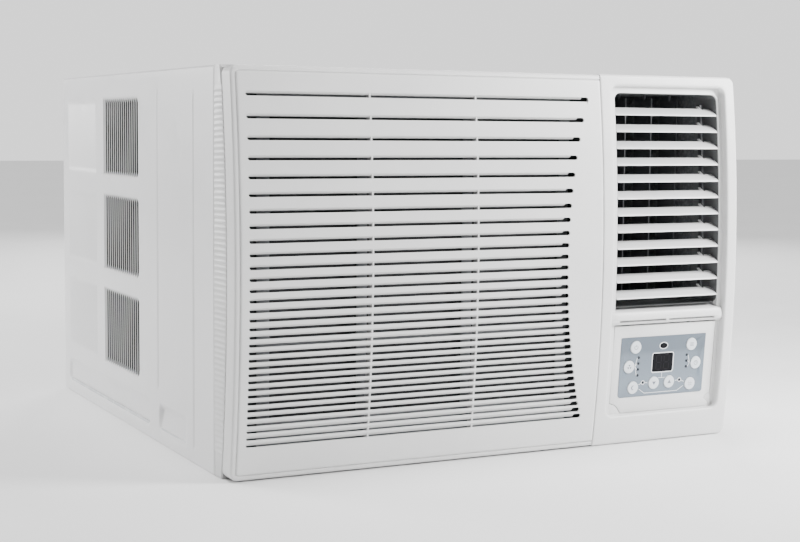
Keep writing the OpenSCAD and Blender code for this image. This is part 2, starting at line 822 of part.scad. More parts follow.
// Where vane i's link pin stands at rest
function link_pin(i) =
  [vane_y(i) + vane_crank * cos(vane_tilt), vane_z(i) + vane_crank * sin(vane_tilt)];

// The link pins lie on the front's own curve, moved back and up with the
// cranks, so the link bar is a slice of a ring of that radius
module vane_link() {
  cy = y_front + face_r + vane_set + vane_crank * cos(vane_tilt);
  cz = body_h / 2 + vane_crank * sin(vane_tilt);
  x0 = link_x + link_gap;
  color(vane_white) difference() {
    intersection() {
      block(x0, x0 + link_t, y_front, y_case + guide_set, link_pin(vanes - 1)[1] - link_w / 2,
        link_pin(0)[1] + link_w / 2);
      rod_x_fine(face_r + link_w / 2, x0 - cut, x0 + link_t + cut, cy, cz);
    }
    rod_x_fine(face_r - link_w / 2, x0 - 2 * cut, x0 + link_t + 2 * cut, cy, cz);
    for (i = [0:vanes - 1])
      rod_x(link_pin_r + (i == 0 ? vane_hole_clear : link_pin_clear), link_x - cut,
        link_x + link_gap + link_t + cut, link_pin(i)[0], link_pin(i)[1]);
  }
}

// ---- guide blades and their drive ----

module guide_blade(i) {
  color(vane_white) translate([guide_x(i), guide_y, 0]) {
    block(-guide_t / 2, guide_t / 2, -guide_chord * guide_front_share,
      guide_chord * (1 - guide_front_share), outlet_z0 + guide_end_gap, outlet_z1 - guide_end_gap);
    rod_z(guide_pin_r, swing_top, outlet_z0 + guide_end_gap + pin_root, 0, 0);
    rod_z(guide_pin_r, outlet_z1 - guide_end_gap - pin_root, outlet_z1 + scroll_wall, 0, 0);
  }
}

// The blades hang on a link below their lower edge, inside the duct
module guide_blade_node(i) {
  color(vane_white) {
    difference() {
      guide_blade(i);
      translate([guide_x(i), guide_y, 0])
        block(-guide_notch_w, guide_notch_w, guide_crank - guide_notch,
          guide_crank + guide_notch, outlet_z0, guide_link_z + guide_notch_rise);
    }
    rod_z(link_pin_r, guide_link_z - guide_link_t, guide_link_z + guide_pin_rise, guide_x(i),
      guide_y + guide_crank);
  }
}

module guide_blade_1() guide_blade_node(0);
module guide_blade_2() guide_blade_node(1);
module guide_blade_3() guide_blade_node(2);
module guide_blade_4() guide_blade_node(3);

module guide_link() {
  color(vane_white) difference() {
    block(guide_x(0) - guide_link_end, guide_x(guides - 1) + guide_link_end,
      guide_y + guide_crank - guide_link_w / 2, guide_y + guide_crank + guide_link_w / 2,
      guide_link_z - guide_link_t, guide_link_z);
    for (i = [0:guides - 1])
      rod_z(link_pin_r + (i == 0 ? guide_hole_clear : guide_pin_clear), outlet_z0,
        guide_link_z + cut, guide_x(i), guide_y + guide_crank);
  }
}

// A coupling dog joins the motor's shaft to the lower pin of guide blade 1
dog_r = 5;
dog_h = 6;
swing_shaft_l = 8;
swing_shaft_clear = 0.06;

module swing_dog() {
  color([0.85, 0.85, 0.85]) {
    rod_z(dog_r, swing_top - dog_h, swing_top, guide_x(0), guide_y);
    rod_z(guide_pin_r, swing_top - dog_h - swing_shaft_l, swing_top - cut, guide_x(0), guide_y);
  }
}

swing_motor_r = 11;
swing_motor_h = 12;
swing_ear = 17;           // mounting ears on both sides of the motor
swing_ear_w = 7;
swing_ear_t = 1;
swing_gap = 0.4;
swing_motor_z1 = swing_top - dog_h - swing_gap;

module swing_motor() {
  color("silver") difference() {
    union() {
      rod_z(swing_motor_r, swing_motor_z1 - swing_motor_h, swing_motor_z1, guide_x(0), guide_y);
      block(guide_x(0) - swing_ear, guide_x(0) + swing_ear, guide_y - swing_ear_w / 2,
        guide_y + swing_ear_w / 2, swing_motor_z1 - 1.5 * swing_ear_t,
        swing_motor_z1 - swing_ear_t / 2);
    }
    rod_z(guide_pin_r + swing_shaft_clear, swing_motor_z1 - swing_shaft_l - cut,
      swing_motor_z1 + cut, guide_x(0), guide_y);
  }
}

// ---- control panel ----

module on_panel() {
  translate([panel_cx, panel_y, panel_z]) rotate([panel_lean, 0, 0]) children();
}

// A block and a rod in the panel's own frame: u right, w back, v up
module pad(u, v, w, h, w0, w1) {
  block(u - w / 2, u + w / 2, w0, w1, v - h / 2, v + h / 2);
}

module button_holes(w0, w1) {
  for (p = button_uv)
    rod_y(button_r + button_gap, w0, w1, p[0], p[1]);
}

function led_uv() = concat(
  [for (k = [0:3]) [-led_u, led_left_v - k * led_pitch]],
  [for (k = [0:2]) [led_u, led_right_v - k * led_pitch]],
  [[-led_low_u, led_low_v], [led_low_u, led_low_v]]);

module control_bezel() {
  color(white_front) on_panel() difference() {
    union() {
      block(-bezel_u, bezel_u, 0, bezel_t, bezel_v0, bezel_v1);
      for (su = [-1, 1])
        pad(su * bezel_post_u, bezel_post_v, bezel_post_w, bezel_post_l, bezel_t - bite,
          board_w0);
    }
    button_holes(-cut, bezel_t + cut);
    pad(0, display_v, display_w, display_h, -cut, bezel_t + cut);
    pad(0, ir_v, ir_w, ir_h, -cut, bezel_t + cut);
    for (p = led_uv())
      rod_y(led_r, -cut, bezel_t + cut, p[0], p[1]);
  }
}

module membrane_overlay() {
  color(panel_blue) on_panel() difference() {
    pad(0, overlay_v, overlay_w, overlay_h, -overlay_t, 0);
    button_holes(-overlay_t - cut, cut);
    pad(0, display_v, display_w, display_h, -overlay_t - cut, cut);
    pad(0, ir_v, ir_w, ir_h, -overlay_t - cut, cut);
    for (p = led_uv())
      rod_y(led_r, -overlay_t - cut, cut, p[0], p[1]);
  }
}

module display_module() {
  color(dark) on_panel() {
    pad(0, display_v, display_w - window_clear, display_h - window_clear, -window_proud,
      board_w0);
  }
}

module ir_receiver() {
  color(dark) on_panel() {
    pad(0, ir_v, ir_w - window_clear, ir_h - window_clear, -window_proud, board_w0);
  }
}

module indicator_leds() {
  color([0.9, 0.95, 0.9]) on_panel() {
    for (p = led_uv())
      rod_y(led_r - led_clear, -overlay_t - led_proud, board_w0, p[0], p[1]);
  }
}

module control_board() {
  color("darkgreen") on_panel()
    block(-bezel_u + board_side, bezel_u - board_side, board_w0, board_w0 + board_t,
      bezel_v0 + board_low, bezel_v1 - board_high);
}

module button(k) {
  p = button_uv[k];
  color([0.86, 0.88, 0.90]) on_panel() {
    rod_y(button_r, -button_proud, cap_rim_w0 + cap_rim_t, p[0], p[1]);
    rod_y(cap_rim_r, cap_rim_w0, cap_rim_w0 + cap_rim_t, p[0], p[1]);
    rod_y(stem_r, cap_rim_w0, stem_end, p[0], p[1]);
  }
}

module button_power() button(0);
module button_mode() button(1);
module button_fan() button(2);
module button_timer() button(3);
module button_sleep() button(4);
module button_swing() button(5);
module button_down() button(6);
module button_up() button(7);

// ---- air system ----

coil_end = 12;            // the tubes stick out of the fins this far
coil_tip = 3;
coil_tube_r = 3.6;
coil_tube_shift = 9;      // tubes stand in two staggered rows
end_plate_t = 1.5;
end_plate_proud = 0.5;
end_plate_rise = 2;

// A block of fins between two end plates, with the ends of its tubes
module coil(x0, x1, y0, y1, z0, z1, hairpins) {
  pitch = (z1 - z0) / hairpins;
  color(metal) {
    block(x0 + coil_end, x1 - coil_end, y0, y1, z0, z1);
    for (x = [x0 + coil_end, x1 - coil_end])
      block(x - end_plate_t / 2, x + end_plate_t / 2, y0 - end_plate_proud,
        y1 + end_plate_proud, z0 - end_plate_rise, z1 + end_plate_rise);
  }
  color(copper) for (i = [0:hairpins - 1], side = [0, 1])
    rod_x(coil_tube_r, side == 0 ? x0 + coil_tip : x1 - coil_end,
      side == 0 ? x0 + coil_end : x1 - coil_tip,
      (y0 + y1) / 2 + (i % 2 == 0 ? -coil_tube_shift : coil_tube_shift),
      z0 + (i + 0.5) * pitch);
}

evap_hairpins = 14;
cond_hairpins = 15;

module evaporator_coil()
  coil(evap_x0, evap_x1, evap_y0, evap_y0 + evap_d, evap_z0, evap_z1, evap_hairpins);

module condenser_coil()
  coil(-hw + cond_left, hw - cond_right, cond_y0, cond_y1, pan_t + cond_lift,
    body_h - cond_top, cond_hairpins);

module condenser_shroud() {
  color(metal) difference() {
    union() {
      block(-hw + shroud_left, hw - shroud_right, shroud_y, shroud_y + shroud_t, pan_t,
        body_h - shroud_top);
      rod_y(fan_r + shroud_clear + shroud_t, shroud_y - shroud_ring_l, shroud_y + bite,
        shaft_x, shaft_z);
      for (z = [pan_t, body_h - shroud_top - shroud_t])
        block(-hw + shroud_left, hw - shroud_right, shroud_y, cond_y0 - end_plate_proud - 0.5,
          z, z + shroud_t);
    }
    rod_y(fan_r + shroud_clear, shroud_y - shroud_ring_l - cut, shroud_y + shroud_t + cut,
      shaft_x, shaft_z);
  }
}

// Outline of the scroll, set out by grow: a spiral from the tongue round the
// left of the wheel, then straight walls to the outlet on the right
function scroll_outline(grow) = concat(
  [[outlet_x1 + grow, scroll_z0 - grow], [outlet_x1 + grow, outlet_z1 + grow],
   [outlet_x0 - grow, outlet_z1 + grow]],
  [for (a = [scroll_from:15:scroll_to])
    let (r = blower_r + scroll_tongue + (a - scroll_from) * scroll_growth + grow)
      [shaft_x + r * cos(a), max(shaft_z + r * sin(a), scroll_z0 - grow)]]);

module blower_scroll() {
  color([0.86, 0.87, 0.88]) difference() {
    union() {
      plate_y(scroll_outline(scroll_wall), scroll_y0, scroll_y1);
      block(-hw + bulkhead_left, hw - bulkhead_right, scroll_y1 - scroll_wall, scroll_y1,
        bulkhead_z0, body_h - bulkhead_top);
      block(outlet_x0 - scroll_wall, outlet_x1 + scroll_wall, y_case, scroll_y0 + 1,
        outlet_z0 - scroll_wall, outlet_z1 + scroll_wall);
    }
    plate_y(scroll_outline(0), scroll_y0 + scroll_wall, scroll_y1 - scroll_wall);
    rod_y(scroll_inlet_r, scroll_y0 - cut, scroll_y0 + scroll_wall + cut, shaft_x, shaft_z);
    block(outlet_x0, outlet_x1, y_case - cut, scroll_y0 + scroll_wall + cut, outlet_z0, outlet_z1);
    rod_y(shaft_r + scroll_shaft_gap, scroll_y1 - scroll_wall - cut, scroll_y1 + cut,
      shaft_x, shaft_z);
    for (i = [0:guides - 1])
      rod_z(guide_pin_r + guide_hole_clear, outlet_z0 - scroll_wall - cut,
        outlet_z1 + scroll_wall + cut, guide_x(i), guide_y);
  }
}

module blower_wheel() {
  y0 = scroll_y0 + scroll_wall + blower_gap;
  y1 = y0 + blower_w;
  color([0.25, 0.26, 0.28]) difference() {
    union() {
      rod_y(blower_r, y1 - wheel_back_t, y1, shaft_x, shaft_z);
      rod_y(wheel_hub_r, y1 - wheel_hub_l, y1, shaft_x, shaft_z);
      difference() {
        rod_y(blower_r, y0, y0 + wheel_rim_t, shaft_x, shaft_z);
        rod_y(blower_r - wheel_rim, y0 - cut, y0 + wheel_rim_t + cut, shaft_x, shaft_z);
      }
      for (i = [0:blower_blades - 1])
        translate([shaft_x, 0, shaft_z]) rotate([0, i * 360 / blower_blades, 0])
          translate([blower_r - wheel_rim + wheel_blade_t / 2, 0, 0])
            rotate([0, wheel_blade_lean, 0])
              block(0, wheel_rim - 1.5 * wheel_blade_t, y0 + cut, y1 - cut,
                -wheel_blade_t / 2, wheel_blade_t / 2);
    }
    rod_y(shaft_r, y0 - cut, y1 + cut, shaft_x, shaft_z);
  }
}

module fan_motor() {
  color([0.30, 0.31, 0.33]) difference() {
    union() {
      rod_y(motor_r, motor_y0 + motor_end_l, motor_y1 - motor_end_l, shaft_x, shaft_z);
      rod_y(motor_r - motor_end_l, motor_y0, motor_y1, shaft_x, shaft_z);
    }
    rod_y(shaft_r + shaft_clear, motor_y0 - cut, motor_y1 + cut, shaft_x, shaft_z);
  }
}

module motor_shaft() {
  color("silver") rod_y(shaft_r, shaft_y0, shaft_y1, shaft_x, shaft_z);
}

module motor_bracket() {
  color(metal) difference() {
    union() {
      block(shaft_x - bracket_half, shaft_x + bracket_half, motor_y1, motor_y1 + bracket_t,
        pan_t, shaft_z + bracket_rise);
      block(shaft_x - bracket_half, shaft_x + bracket_half, motor_y1 - bracket_foot,
        motor_y1 + bracket_t, pan_t, pan_t + bracket_t);
    }
    rod_y(shaft_r + bracket_shaft_gap, motor_y1 - cut, motor_y1 + bracket_t + cut,
      shaft_x, shaft_z);
  }
}

module condenser_fan() {
  y0 = fan_y - fan_w / 2;
  y1 = fan_y + fan_w / 2;
  color([0.25, 0.26, 0.28]) difference() {
    union() {
      rod_y(fan_hub_r, y0, y1, shaft_x, shaft_z);
      difference() {
        rod_y(fan_r, y0 + fan_ring_set, y1, shaft_x, shaft_z);
        rod_y(fan_r - fan_ring_t, y0 + fan_ring_set - cut, y1 + cut, shaft_x, shaft_z);
      }
      for (i = [0:fan_blades - 1])
        translate([shaft_x, fan_y, shaft_z]) rotate([0, i * 360 / fan_blades, 0])
          translate([fan_blade_root, 0, 0]) rotate([fan_blade_pitch, 0, 0])
            block(0, fan_r - fan_blade_root - fan_ring_t / 2, -fan_blade_t / 2,
              fan_blade_t / 2, -fan_blade_w / 2, fan_blade_w / 2);
    }
    rod_y(shaft_r, y0 - cut, y1 + cut, shaft_x, shaft_z);
  }
}

// ---- cooling circuit ----

function mount_xy(k) =
  [comp_x + mount_pcd_r * cos(30 + 120 * k), comp_y + mount_pcd_r * sin(30 + 120 * k)];

module compressor() {
  z0 = comp_foot_z + comp_foot_t;
  color(dark) difference() {
    union() {
      translate([comp_x, comp_y, 0]) rotate_extrude() polygon(concat(
        [[0, z0], [comp_r - comp_dish, z0], [comp_r, z0 + comp_dish_h],
         [comp_r, comp_z1 - comp_dome]],
        [for (a = [10:10:80])
          [comp_r * cos(a), comp_z1 - comp_dome + comp_dome * sin(a)]],
        [[0, comp_z1]]));
      for (k = [0:2])
        rod_z(comp_foot_r, comp_foot_z, z0, mount_xy(k)[0], mount_xy(k)[1]);
      rod_z(comp_r + comp_skirt, comp_foot_z, z0 + cut, comp_x, comp_y);
    }
    for (k = [0:2])
      rod_z(mount_stud_r + mount_clear, comp_foot_z - cut, z0 + 2 * cut, mount_xy(k)[0],
        mount_xy(k)[1]);
  }
}

module compressor_mounts() {
  color([0.1, 0.1, 0.1]) for (k = [0:2]) {
    rod_z(mount_r, pan_t, comp_foot_z, mount_xy(k)[0], mount_xy(k)[1]);
    rod_z(mount_stud_r, comp_foot_z - cut, comp_foot_z + comp_foot_t + mount_stud_top,
      mount_xy(k)[0], mount_xy(k)[1]);
  }
}

module accumulator() {
  z1 = accu_z0 + accu_h;
  color(dark) translate([accu_x, accu_y, 0]) rotate_extrude() polygon([[0, accu_z0],
    [accu_r * accu_neck, accu_z0 + 2], [accu_r, accu_z0 + accu_shoulder],
    [accu_r, z1 - accu_shoulder], [accu_r * accu_neck, z1 - 2], [0, z1]]);
}

// A pipe that runs through the points p, with a ball at each bend
module pipe(p, r) {
  for (i = [0:len(p) - 2]) {
    d = p[i + 1] - p[i];
    l = norm(d);
    translate(p[i]) rotate([0, acos(d[2] / l), atan2(d[1], d[0])]) cylinder(r = r, h = l);
  }
  for (i = [1:len(p) - 2])
    translate(p[i]) sphere(r = r);
}

pipe_high = comp_z1 + 40;         // level of the suction pipe
pipe_mid = pipe_high - 20;        // level of the discharge pipe
pipe_low = 60;                    // level of the liquid line beside the compressor
pipe_floor = 24;                  // level of the liquid line under the scroll
line_y = scroll_y0 - 4;
suction_y = line_y - 8;
suction_z = (outlet_z0 - scroll_wall + bay_top_z - 3) / 2;
cond_port_x = hw - cond_right - 2;
cond_port_y = cond_y0 + 14;
evap_port_x = evap_x1 - 8;

module refrigerant_pipes() {
  color(copper) {
    // suction: evaporator to accumulator
    pipe([[evap_x1 - 2, suction_y, suction_z], [pipe_x, suction_y, suction_z],
      [pipe_x, suction_y, pipe_high], [pipe_x, accu_y, pipe_high],
      [accu_x, accu_y, pipe_high], [accu_x, accu_y, accu_z0 + accu_h]], pipe_r);
    // discharge: compressor to condenser
    pipe([[comp_x, comp_y, comp_z1], [comp_x, comp_y, pipe_mid],
      [pipe_x, comp_y, pipe_mid], [pipe_x, cond_port_y, pipe_mid],
      [cond_port_x, cond_port_y, pipe_mid]], pipe_r);
    // liquid line: condenser to evaporator
    pipe([[cond_port_x, cond_port_y, pipe_low], [pipe_x, cond_port_y, pipe_low],
      [pipe_x, line_y, pipe_low], [pipe_x, line_y, pipe_floor],
      [evap_port_x, line_y, pipe_floor], [evap_port_x, line_y, evap_z0]], line_r);
  }
}

// ---- electrics ----

box_side = 2;
box_low = 1;
box_high = 5;
box_x0 = outlet_x0 + box_side;
box_x1 = outlet_x1 - box_side;
box_z0 = bay_bottom_z - box_low;
box_z1 = bay_top_z - box_high;
box_y0 = y_case + 4;
box_y1 = suction_y - 6;
box_wall = 1.5;

module electrical_box() {
  color([0.75, 0.76, 0.78]) difference() {
    block(box_x0, box_x1, box_y0, box_y1, box_z0, box_z1);
    block(box_x0 + box_wall, box_x1 - box_wall, box_y0 - cut, box_y1 - box_wall,
      box_z0 + box_wall, box_z1 - box_wall);
  }
}

gland_x = hw - 70;
gland_y = y_case + 6;
gland_plate = 28;
gland_plate_t = 3;
gland_r = 9;
gland_l = 8;
gland_hole_r = 4;
gland_rise = 15;

module cord_gland() {
  color(dark) difference() {
    union() {
      block(gland_x - gland_plate / 2, gland_x + gland_plate / 2, gland_y,
        gland_y + gland_plate_t, pan_t, pan_t + gland_plate);
      rod_y(gland_r, gland_y + gland_plate_t, gland_y + gland_plate_t + gland_l, gland_x,
        pan_t + gland_rise);
    }
    rod_y(gland_hole_r, gland_y - cut, gland_y + gland_plate_t + gland_l + cut, gland_x,
      pan_t + gland_rise);
  }
}

base_pan();
cabinet_left_panel();
cabinet_right_panel();
cabinet_top_panel();
rear_guard();
guard_screws();
front_frame();
intake_grille();
grille_hinge_pins();
filter_frame();
filter_mesh();
vane_01();
vane_02();
vane_03();
vane_04();
vane_05();
vane_06();
vane_07();
vane_08();
vane_09();
vane_10();
vane_11();
vane_12();
vane_link();
guide_blade_1();
guide_blade_2();
guide_blade_3();
guide_blade_4();
guide_link();
swing_dog();
swing_motor();
control_bezel();
membrane_overlay();
display_module();
ir_receiver();
indicator_leds();
control_board();
button_power();
button_mode();
button_fan();
button_timer();
button_up();
button_down();
button_sleep();
button_swing();
evaporator_coil();
condenser_coil();
condenser_shroud();
blower_scroll();
blower_wheel();
fan_motor();
motor_shaft();
motor_bracket();
condenser_fan();
compressor();
compressor_mounts();
accumulator();
refrigerant_pipes();
electrical_box();
cord_gland();
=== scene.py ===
import math

import bmesh
import bpy
import numpy as np
from mathutils import Matrix, Vector, geometry


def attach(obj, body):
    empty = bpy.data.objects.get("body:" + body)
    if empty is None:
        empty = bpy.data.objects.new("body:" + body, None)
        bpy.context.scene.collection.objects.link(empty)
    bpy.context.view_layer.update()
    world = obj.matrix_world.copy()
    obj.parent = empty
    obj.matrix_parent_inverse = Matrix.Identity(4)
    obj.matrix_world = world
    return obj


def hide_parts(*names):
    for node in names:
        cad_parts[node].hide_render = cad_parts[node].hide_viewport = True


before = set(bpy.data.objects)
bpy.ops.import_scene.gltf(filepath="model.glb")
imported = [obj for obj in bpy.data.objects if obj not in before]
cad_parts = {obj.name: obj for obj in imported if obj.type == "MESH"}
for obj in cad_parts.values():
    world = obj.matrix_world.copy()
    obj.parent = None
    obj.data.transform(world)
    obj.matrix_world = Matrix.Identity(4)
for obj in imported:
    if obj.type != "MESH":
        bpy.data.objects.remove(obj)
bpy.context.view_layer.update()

# ---- Studio ----
# A pale floor under a plain light backdrop, three soft lamps and an even light from
# above, with the camera in front of the left corner.
eye = Vector((-0.88168, -1.80573, 0.37295))
heading, down, roll = (math.radians(a) for a in (26.968, 5.351, 0.530))
focal_mm = 68.864
level = Vector((math.sin(heading), math.cos(heading), 0))
side = Vector((math.cos(heading), -math.sin(heading), 0))
up = Vector((0, 0, 1))
look = level * math.cos(down) - up * math.sin(down)
look_up = up * math.cos(down) + level * math.sin(down)
right = side * math.cos(roll) + look_up * math.sin(roll)
top = look_up * math.cos(roll) - side * math.sin(roll)
lens = bpy.data.cameras.new("camera")
lens.lens = focal_mm
lens.sensor_width = 36
lens.clip_end = 50
camera = bpy.data.objects.new("camera", lens)
camera.matrix_world = Matrix.Translation(eye) @ Matrix((right, top, -look)).transposed().to_4x4()
bpy.context.scene.collection.objects.link(camera)
bpy.context.scene.camera = camera


def lamp(name, place, aim, width, height, watts):
    """A rectangular soft lamp at place, turned so that it shines at aim."""
    light = bpy.data.lights.new(name, "AREA")
    light.shape = "RECTANGLE"
    light.size, light.size_y = width, height
    light.energy = watts
    lit = bpy.data.objects.new(name, light)
    turn = (Vector(aim) - Vector(place)).to_track_quat("-Z", "Y")
    lit.matrix_world = Matrix.Translation(place) @ turn.to_matrix().to_4x4()
    bpy.context.scene.collection.objects.link(lit)


lamp("lamp_front_right", (0.95, -1.0, 0.80), (0.25, -0.3, 0.2), 0.5, 0.5, 46)
lamp("lamp_left", (-1.7, 1.7, 0.8), (-0.3, 0.1, 0.2), 0.8, 0.8, 52)
lamp("lamp_back", (1.4, 2.6, 1.3), (0, 0, 0.2), 1.2, 1.2, 60)
ceiling = bpy.data.lights.new("ceiling_light", "SUN")
ceiling.energy, ceiling.angle = 3.6, math.radians(25)
ceiling_lit = bpy.data.objects.new("ceiling_light", ceiling)
ceiling_lit.matrix_world = Vector((-0.12, 0.05, 1)).to_track_quat("Z", "Y").to_matrix().to_4x4()
bpy.context.scene.collection.objects.link(ceiling_lit)

room = bpy.data.worlds.new("room")
room.use_nodes = True
room_light = room.node_tree.nodes["Background"]
backdrop = room.node_tree.nodes.new("ShaderNodeBackground")
for shade, strength in ((room_light, 0.12), (backdrop, 1.45)):
    shade.inputs["Color"].default_value = (1, 1, 1, 1)
    shade.inputs["Strength"].default_value = strength
seen = room.node_tree.nodes.new("ShaderNodeLightPath")
choice = room.node_tree.nodes.new("ShaderNodeMixShader")
room.node_tree.links.new(seen.outputs["Is Camera Ray"], choice.inputs[0])
room.node_tree.links.new(room_light.outputs[0], choice.inputs[1])
room.node_tree.links.new(backdrop.outputs[0], choice.inputs[2])
room.node_tree.links.new(choice.outputs[0], room.node_tree.nodes["World Output"].inputs["Surface"])
bpy.context.scene.world = room


def shader(name, **settings):
    """A new material with its Principled shader, the shader's plain sockets set by name."""
    mat = bpy.data.materials.new(name)
    mat.use_nodes = True
    principled = mat.node_tree.nodes["Principled BSDF"]
    for socket, value in settings.items():
        principled.inputs[socket.replace("_", " ")].default_value = value
    return mat, mat.node_tree, principled


def rgb(*grey_or_three):
    """A colour with its alpha, from one grey or three channels."""
    return (*(grey_or_three * 3 if len(grey_or_three) == 1 else grey_or_three), 1)


def noise(tree, scale, detail=3.0, rough=0.5, stretch=(1, 1, 1), warp=0.0):
    """Noise on Object coordinates: scale is in cells per metre, stretched along each axis."""
    place = tree.nodes.new("ShaderNodeTexCoord")
    spread = tree.nodes.new("ShaderNodeMapping")
    spread.inputs["Scale"].default_value = stretch
    cloud = tree.nodes.new("ShaderNodeTexNoise")
    for socket, value in (("Scale", scale), ("Detail", detail), ("Roughness", rough), ("Distortion", warp)):
        cloud.inputs[socket].default_value = value
    tree.links.new(place.outputs["Object"], spread.inputs["Vector"])
    tree.links.new(spread.outputs["Vector"], cloud.inputs["Vector"])
    return cloud.outputs["Fac"]


def ramp(tree, source, stops):
    """A colour for each value of the source, from (place, colour) stops."""
    band = tree.nodes.new("ShaderNodeValToRGB")
    for k, (place, colour) in enumerate(stops):
        element = band.color_ramp.elements[k] if k < 2 else band.color_ramp.elements.new(place)
        element.position, element.color = place, colour
    tree.links.new(source, band.inputs["Fac"])
    return band.outputs["Color"]


def between(tree, source, low, high):
    """The source's 0.3 to 0.7 carried to low and high."""
    span = tree.nodes.new("ShaderNodeMapRange")
    for socket, value in (("From Min", 0.3), ("From Max", 0.7), ("To Min", low), ("To Max", high)):
        span.inputs[socket].default_value = value
    tree.links.new(source, span.inputs["Value"])
    return span.outputs["Result"]


def bump(tree, principled, source, height_mm, strength=1.0):
    """Relief of height_mm from the source, added on top of what the shader has."""
    relief = tree.nodes.new("ShaderNodeBump")
    relief.inputs["Strength"].default_value = strength
    relief.inputs["Distance"].default_value = height_mm / 1000
    if principled.inputs["Normal"].links:
        tree.links.new(principled.inputs["Normal"].links[0].from_socket, relief.inputs["Normal"])
    tree.links.new(source, relief.inputs["Height"])
    tree.links.new(relief.outputs["Normal"], principled.inputs["Normal"])


def skin(name, colour, shade, gloss, grain, grain_mm, cloud=9, **settings):
    """A coloured skin: cloudy between shade and colour, roughness between the two gloss values,
    and a fine grain of so many cells per metre standing grain_mm high."""
    mat, tree, principled = shader(name, **settings)
    drift = noise(tree, cloud, 4, 0.55)
    tree.links.new(ramp(tree, drift, [(0.3, rgb(*shade)), (0.7, rgb(*colour))]),
                   principled.inputs["Base Color"])
    tree.links.new(between(tree, noise(tree, cloud * 6, 5, 0.6), *gloss), principled.inputs["Roughness"])
    bump(tree, principled, noise(tree, grain, 3, 0.6), grain_mm)
    return mat


floor_paint = skin("floor_paint", (0.82, 0.82, 0.82), (0.80, 0.80, 0.80), (0.55, 0.7), 90, 0.05, cloud=1.5)
floor_mesh = bpy.data.meshes.new("floor")
floor_mesh.from_pydata([(-14, -14, 0), (14, -14, 0), (14, 14, 0), (-14, 14, 0)], [], [(0, 1, 2, 3)])
floor_mesh.materials.append(floor_paint)
floor = bpy.data.objects.new("floor", floor_mesh)
floor.location.z = -0.0005
bpy.context.scene.collection.objects.link(floor)

# ---- Case: side panels ----
# Each side is a pressed sheet of baked enamelled steel whose inner face is painted near-black as painted
# shade.
# Two blocks of louvres in three rows, two upright beads and two foot recesses are pressed in.
MM = 0.001
half_w = 325.0
y_case, y_back = -276.5, 337.5
case_start = y_case + 1.5
sheet_t = 1.0


def grid(points, keep=None, flip=False):
    """Vertices and quads of a grid of points: each cell joins a point with its neighbours in the
    next row and column. keep marks the cells that stay, and flip turns the faces over."""
    points = np.asarray(points, float)
    rows, cols = points.shape[:2]
    index = np.arange(rows * cols).reshape(rows, cols)
    quads = np.stack([index[:-1, :-1], index[:-1, 1:], index[1:, 1:], index[1:, :-1]], -1)
    quads = quads[keep] if keep is not None else quads.reshape(-1, 4)
    return points.reshape(-1, 3), (quads[:, ::-1] if flip else quads).tolist()


def loft(rings, caps=True, flip=False):
    """Closed rings of points joined one to the next, with the first and last ring capped."""
    rings = np.asarray(rings, float)
    count, around = rings.shape[:2]
    closed = np.concatenate([rings, rings[:, :1]], 1)
    points, faces = grid(closed, flip=flip)
    if caps:
        first = np.arange(around)
        last = (count - 1) * (around + 1) + first
        ends = [first[::-1].tolist(), last.tolist()]
        faces = faces + [e[::-1] if flip else e for e in ends]
    return points, faces


def piece(name, patches, material, body, nodes=(), outward=False):
    """One object from patches in millimetres: points within a micrometre are merged, cells that
    shrink to a line are dropped and those that shrink to a triangle keep three corners."""
    points, faces, start = [], [], 0
    for patch_points, patch_faces in patches:
        points.append(np.asarray(patch_points, float).reshape(-1, 3))
        faces.extend([[corner + start for corner in face] for face in patch_faces])
        start += len(points[-1])
    points = np.concatenate(points)
    first, merged = np.unique(np.round(points * 1000).astype(np.int64), axis=0, return_index=True,
                              return_inverse=True)[1:]
    points, merged = points[first], merged.ravel()
    faces = [[c for k, c in enumerate(f) if c != f[k - 1]]
             for f in ([merged[c] for c in face] for face in faces)]
    mesh = bpy.data.meshes.new(name)
    mesh.from_pydata((points * MM).tolist(), [], [f for f in faces if len(set(f)) == len(f) > 2])
    mesh.validate()
    mesh.materials.append(material)
    made = bpy.data.objects.new(name, mesh)
    bpy.context.scene.collection.objects.link(made)
    if outward:
        turn_out(made)
    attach(made, body)
    if nodes:
        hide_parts(*nodes)
    return made


def turn_out(made):
    """Turns the faces of closed shells outwards."""
    shell = bmesh.new()
    shell.from_mesh(made.data)
    bmesh.ops.recalc_face_normals(shell, faces=shell.faces)
    shell.to_mesh(made.data)
    shell.free()


def finished(made, wall=0.0, edge=0.0, angle=32.0, segments=2, lining=None):
    """Gives a sheet its wall inwards, with the lining material on its inner face, rounds its
    sharp edges, and shades it smooth up to the angle. Both modifiers are applied."""
    if wall:
        solid = made.modifiers.new("wall", "SOLIDIFY")
        solid.thickness, solid.offset, solid.use_even_offset = wall * MM, -1, False
        if lining:
            made.data.materials.append(lining)
            solid.material_offset, solid.material_offset_rim = 1, 0
    if edge:
        soften = made.modifiers.new("edge", "BEVEL")
        soften.width, soften.segments, soften.limit_method = edge * MM, segments, "ANGLE"
        soften.angle_limit, soften.use_clamp_overlap = math.radians(40), True
    if wall or edge:
        result = bpy.data.meshes.new_from_object(made.evaluated_get(bpy.context.evaluated_depsgraph_get()))
        made.modifiers.clear()
        made.data = result
    made.data.shade_smooth()
    made.data.set_sharp_from_angle(angle=math.radians(angle))
    return made


def spans(*ends):
    """Stations along a line from (start, end, most distance apart) stretches, without repeats."""
    runs = [np.linspace(a, b, max(2, int(math.ceil(abs(b - a) / step)) + 1)) for a, b, step in ends]
    line = np.concatenate(runs)
    return line[np.concatenate([[True], np.abs(np.diff(line)) > 1e-6])]


def rise(t):
    """A soft step: 0 below 0, 1 above 1, with no corner at either end."""
    t = np.clip(t, 0, 1)
    return t * t * (3 - 2 * t)


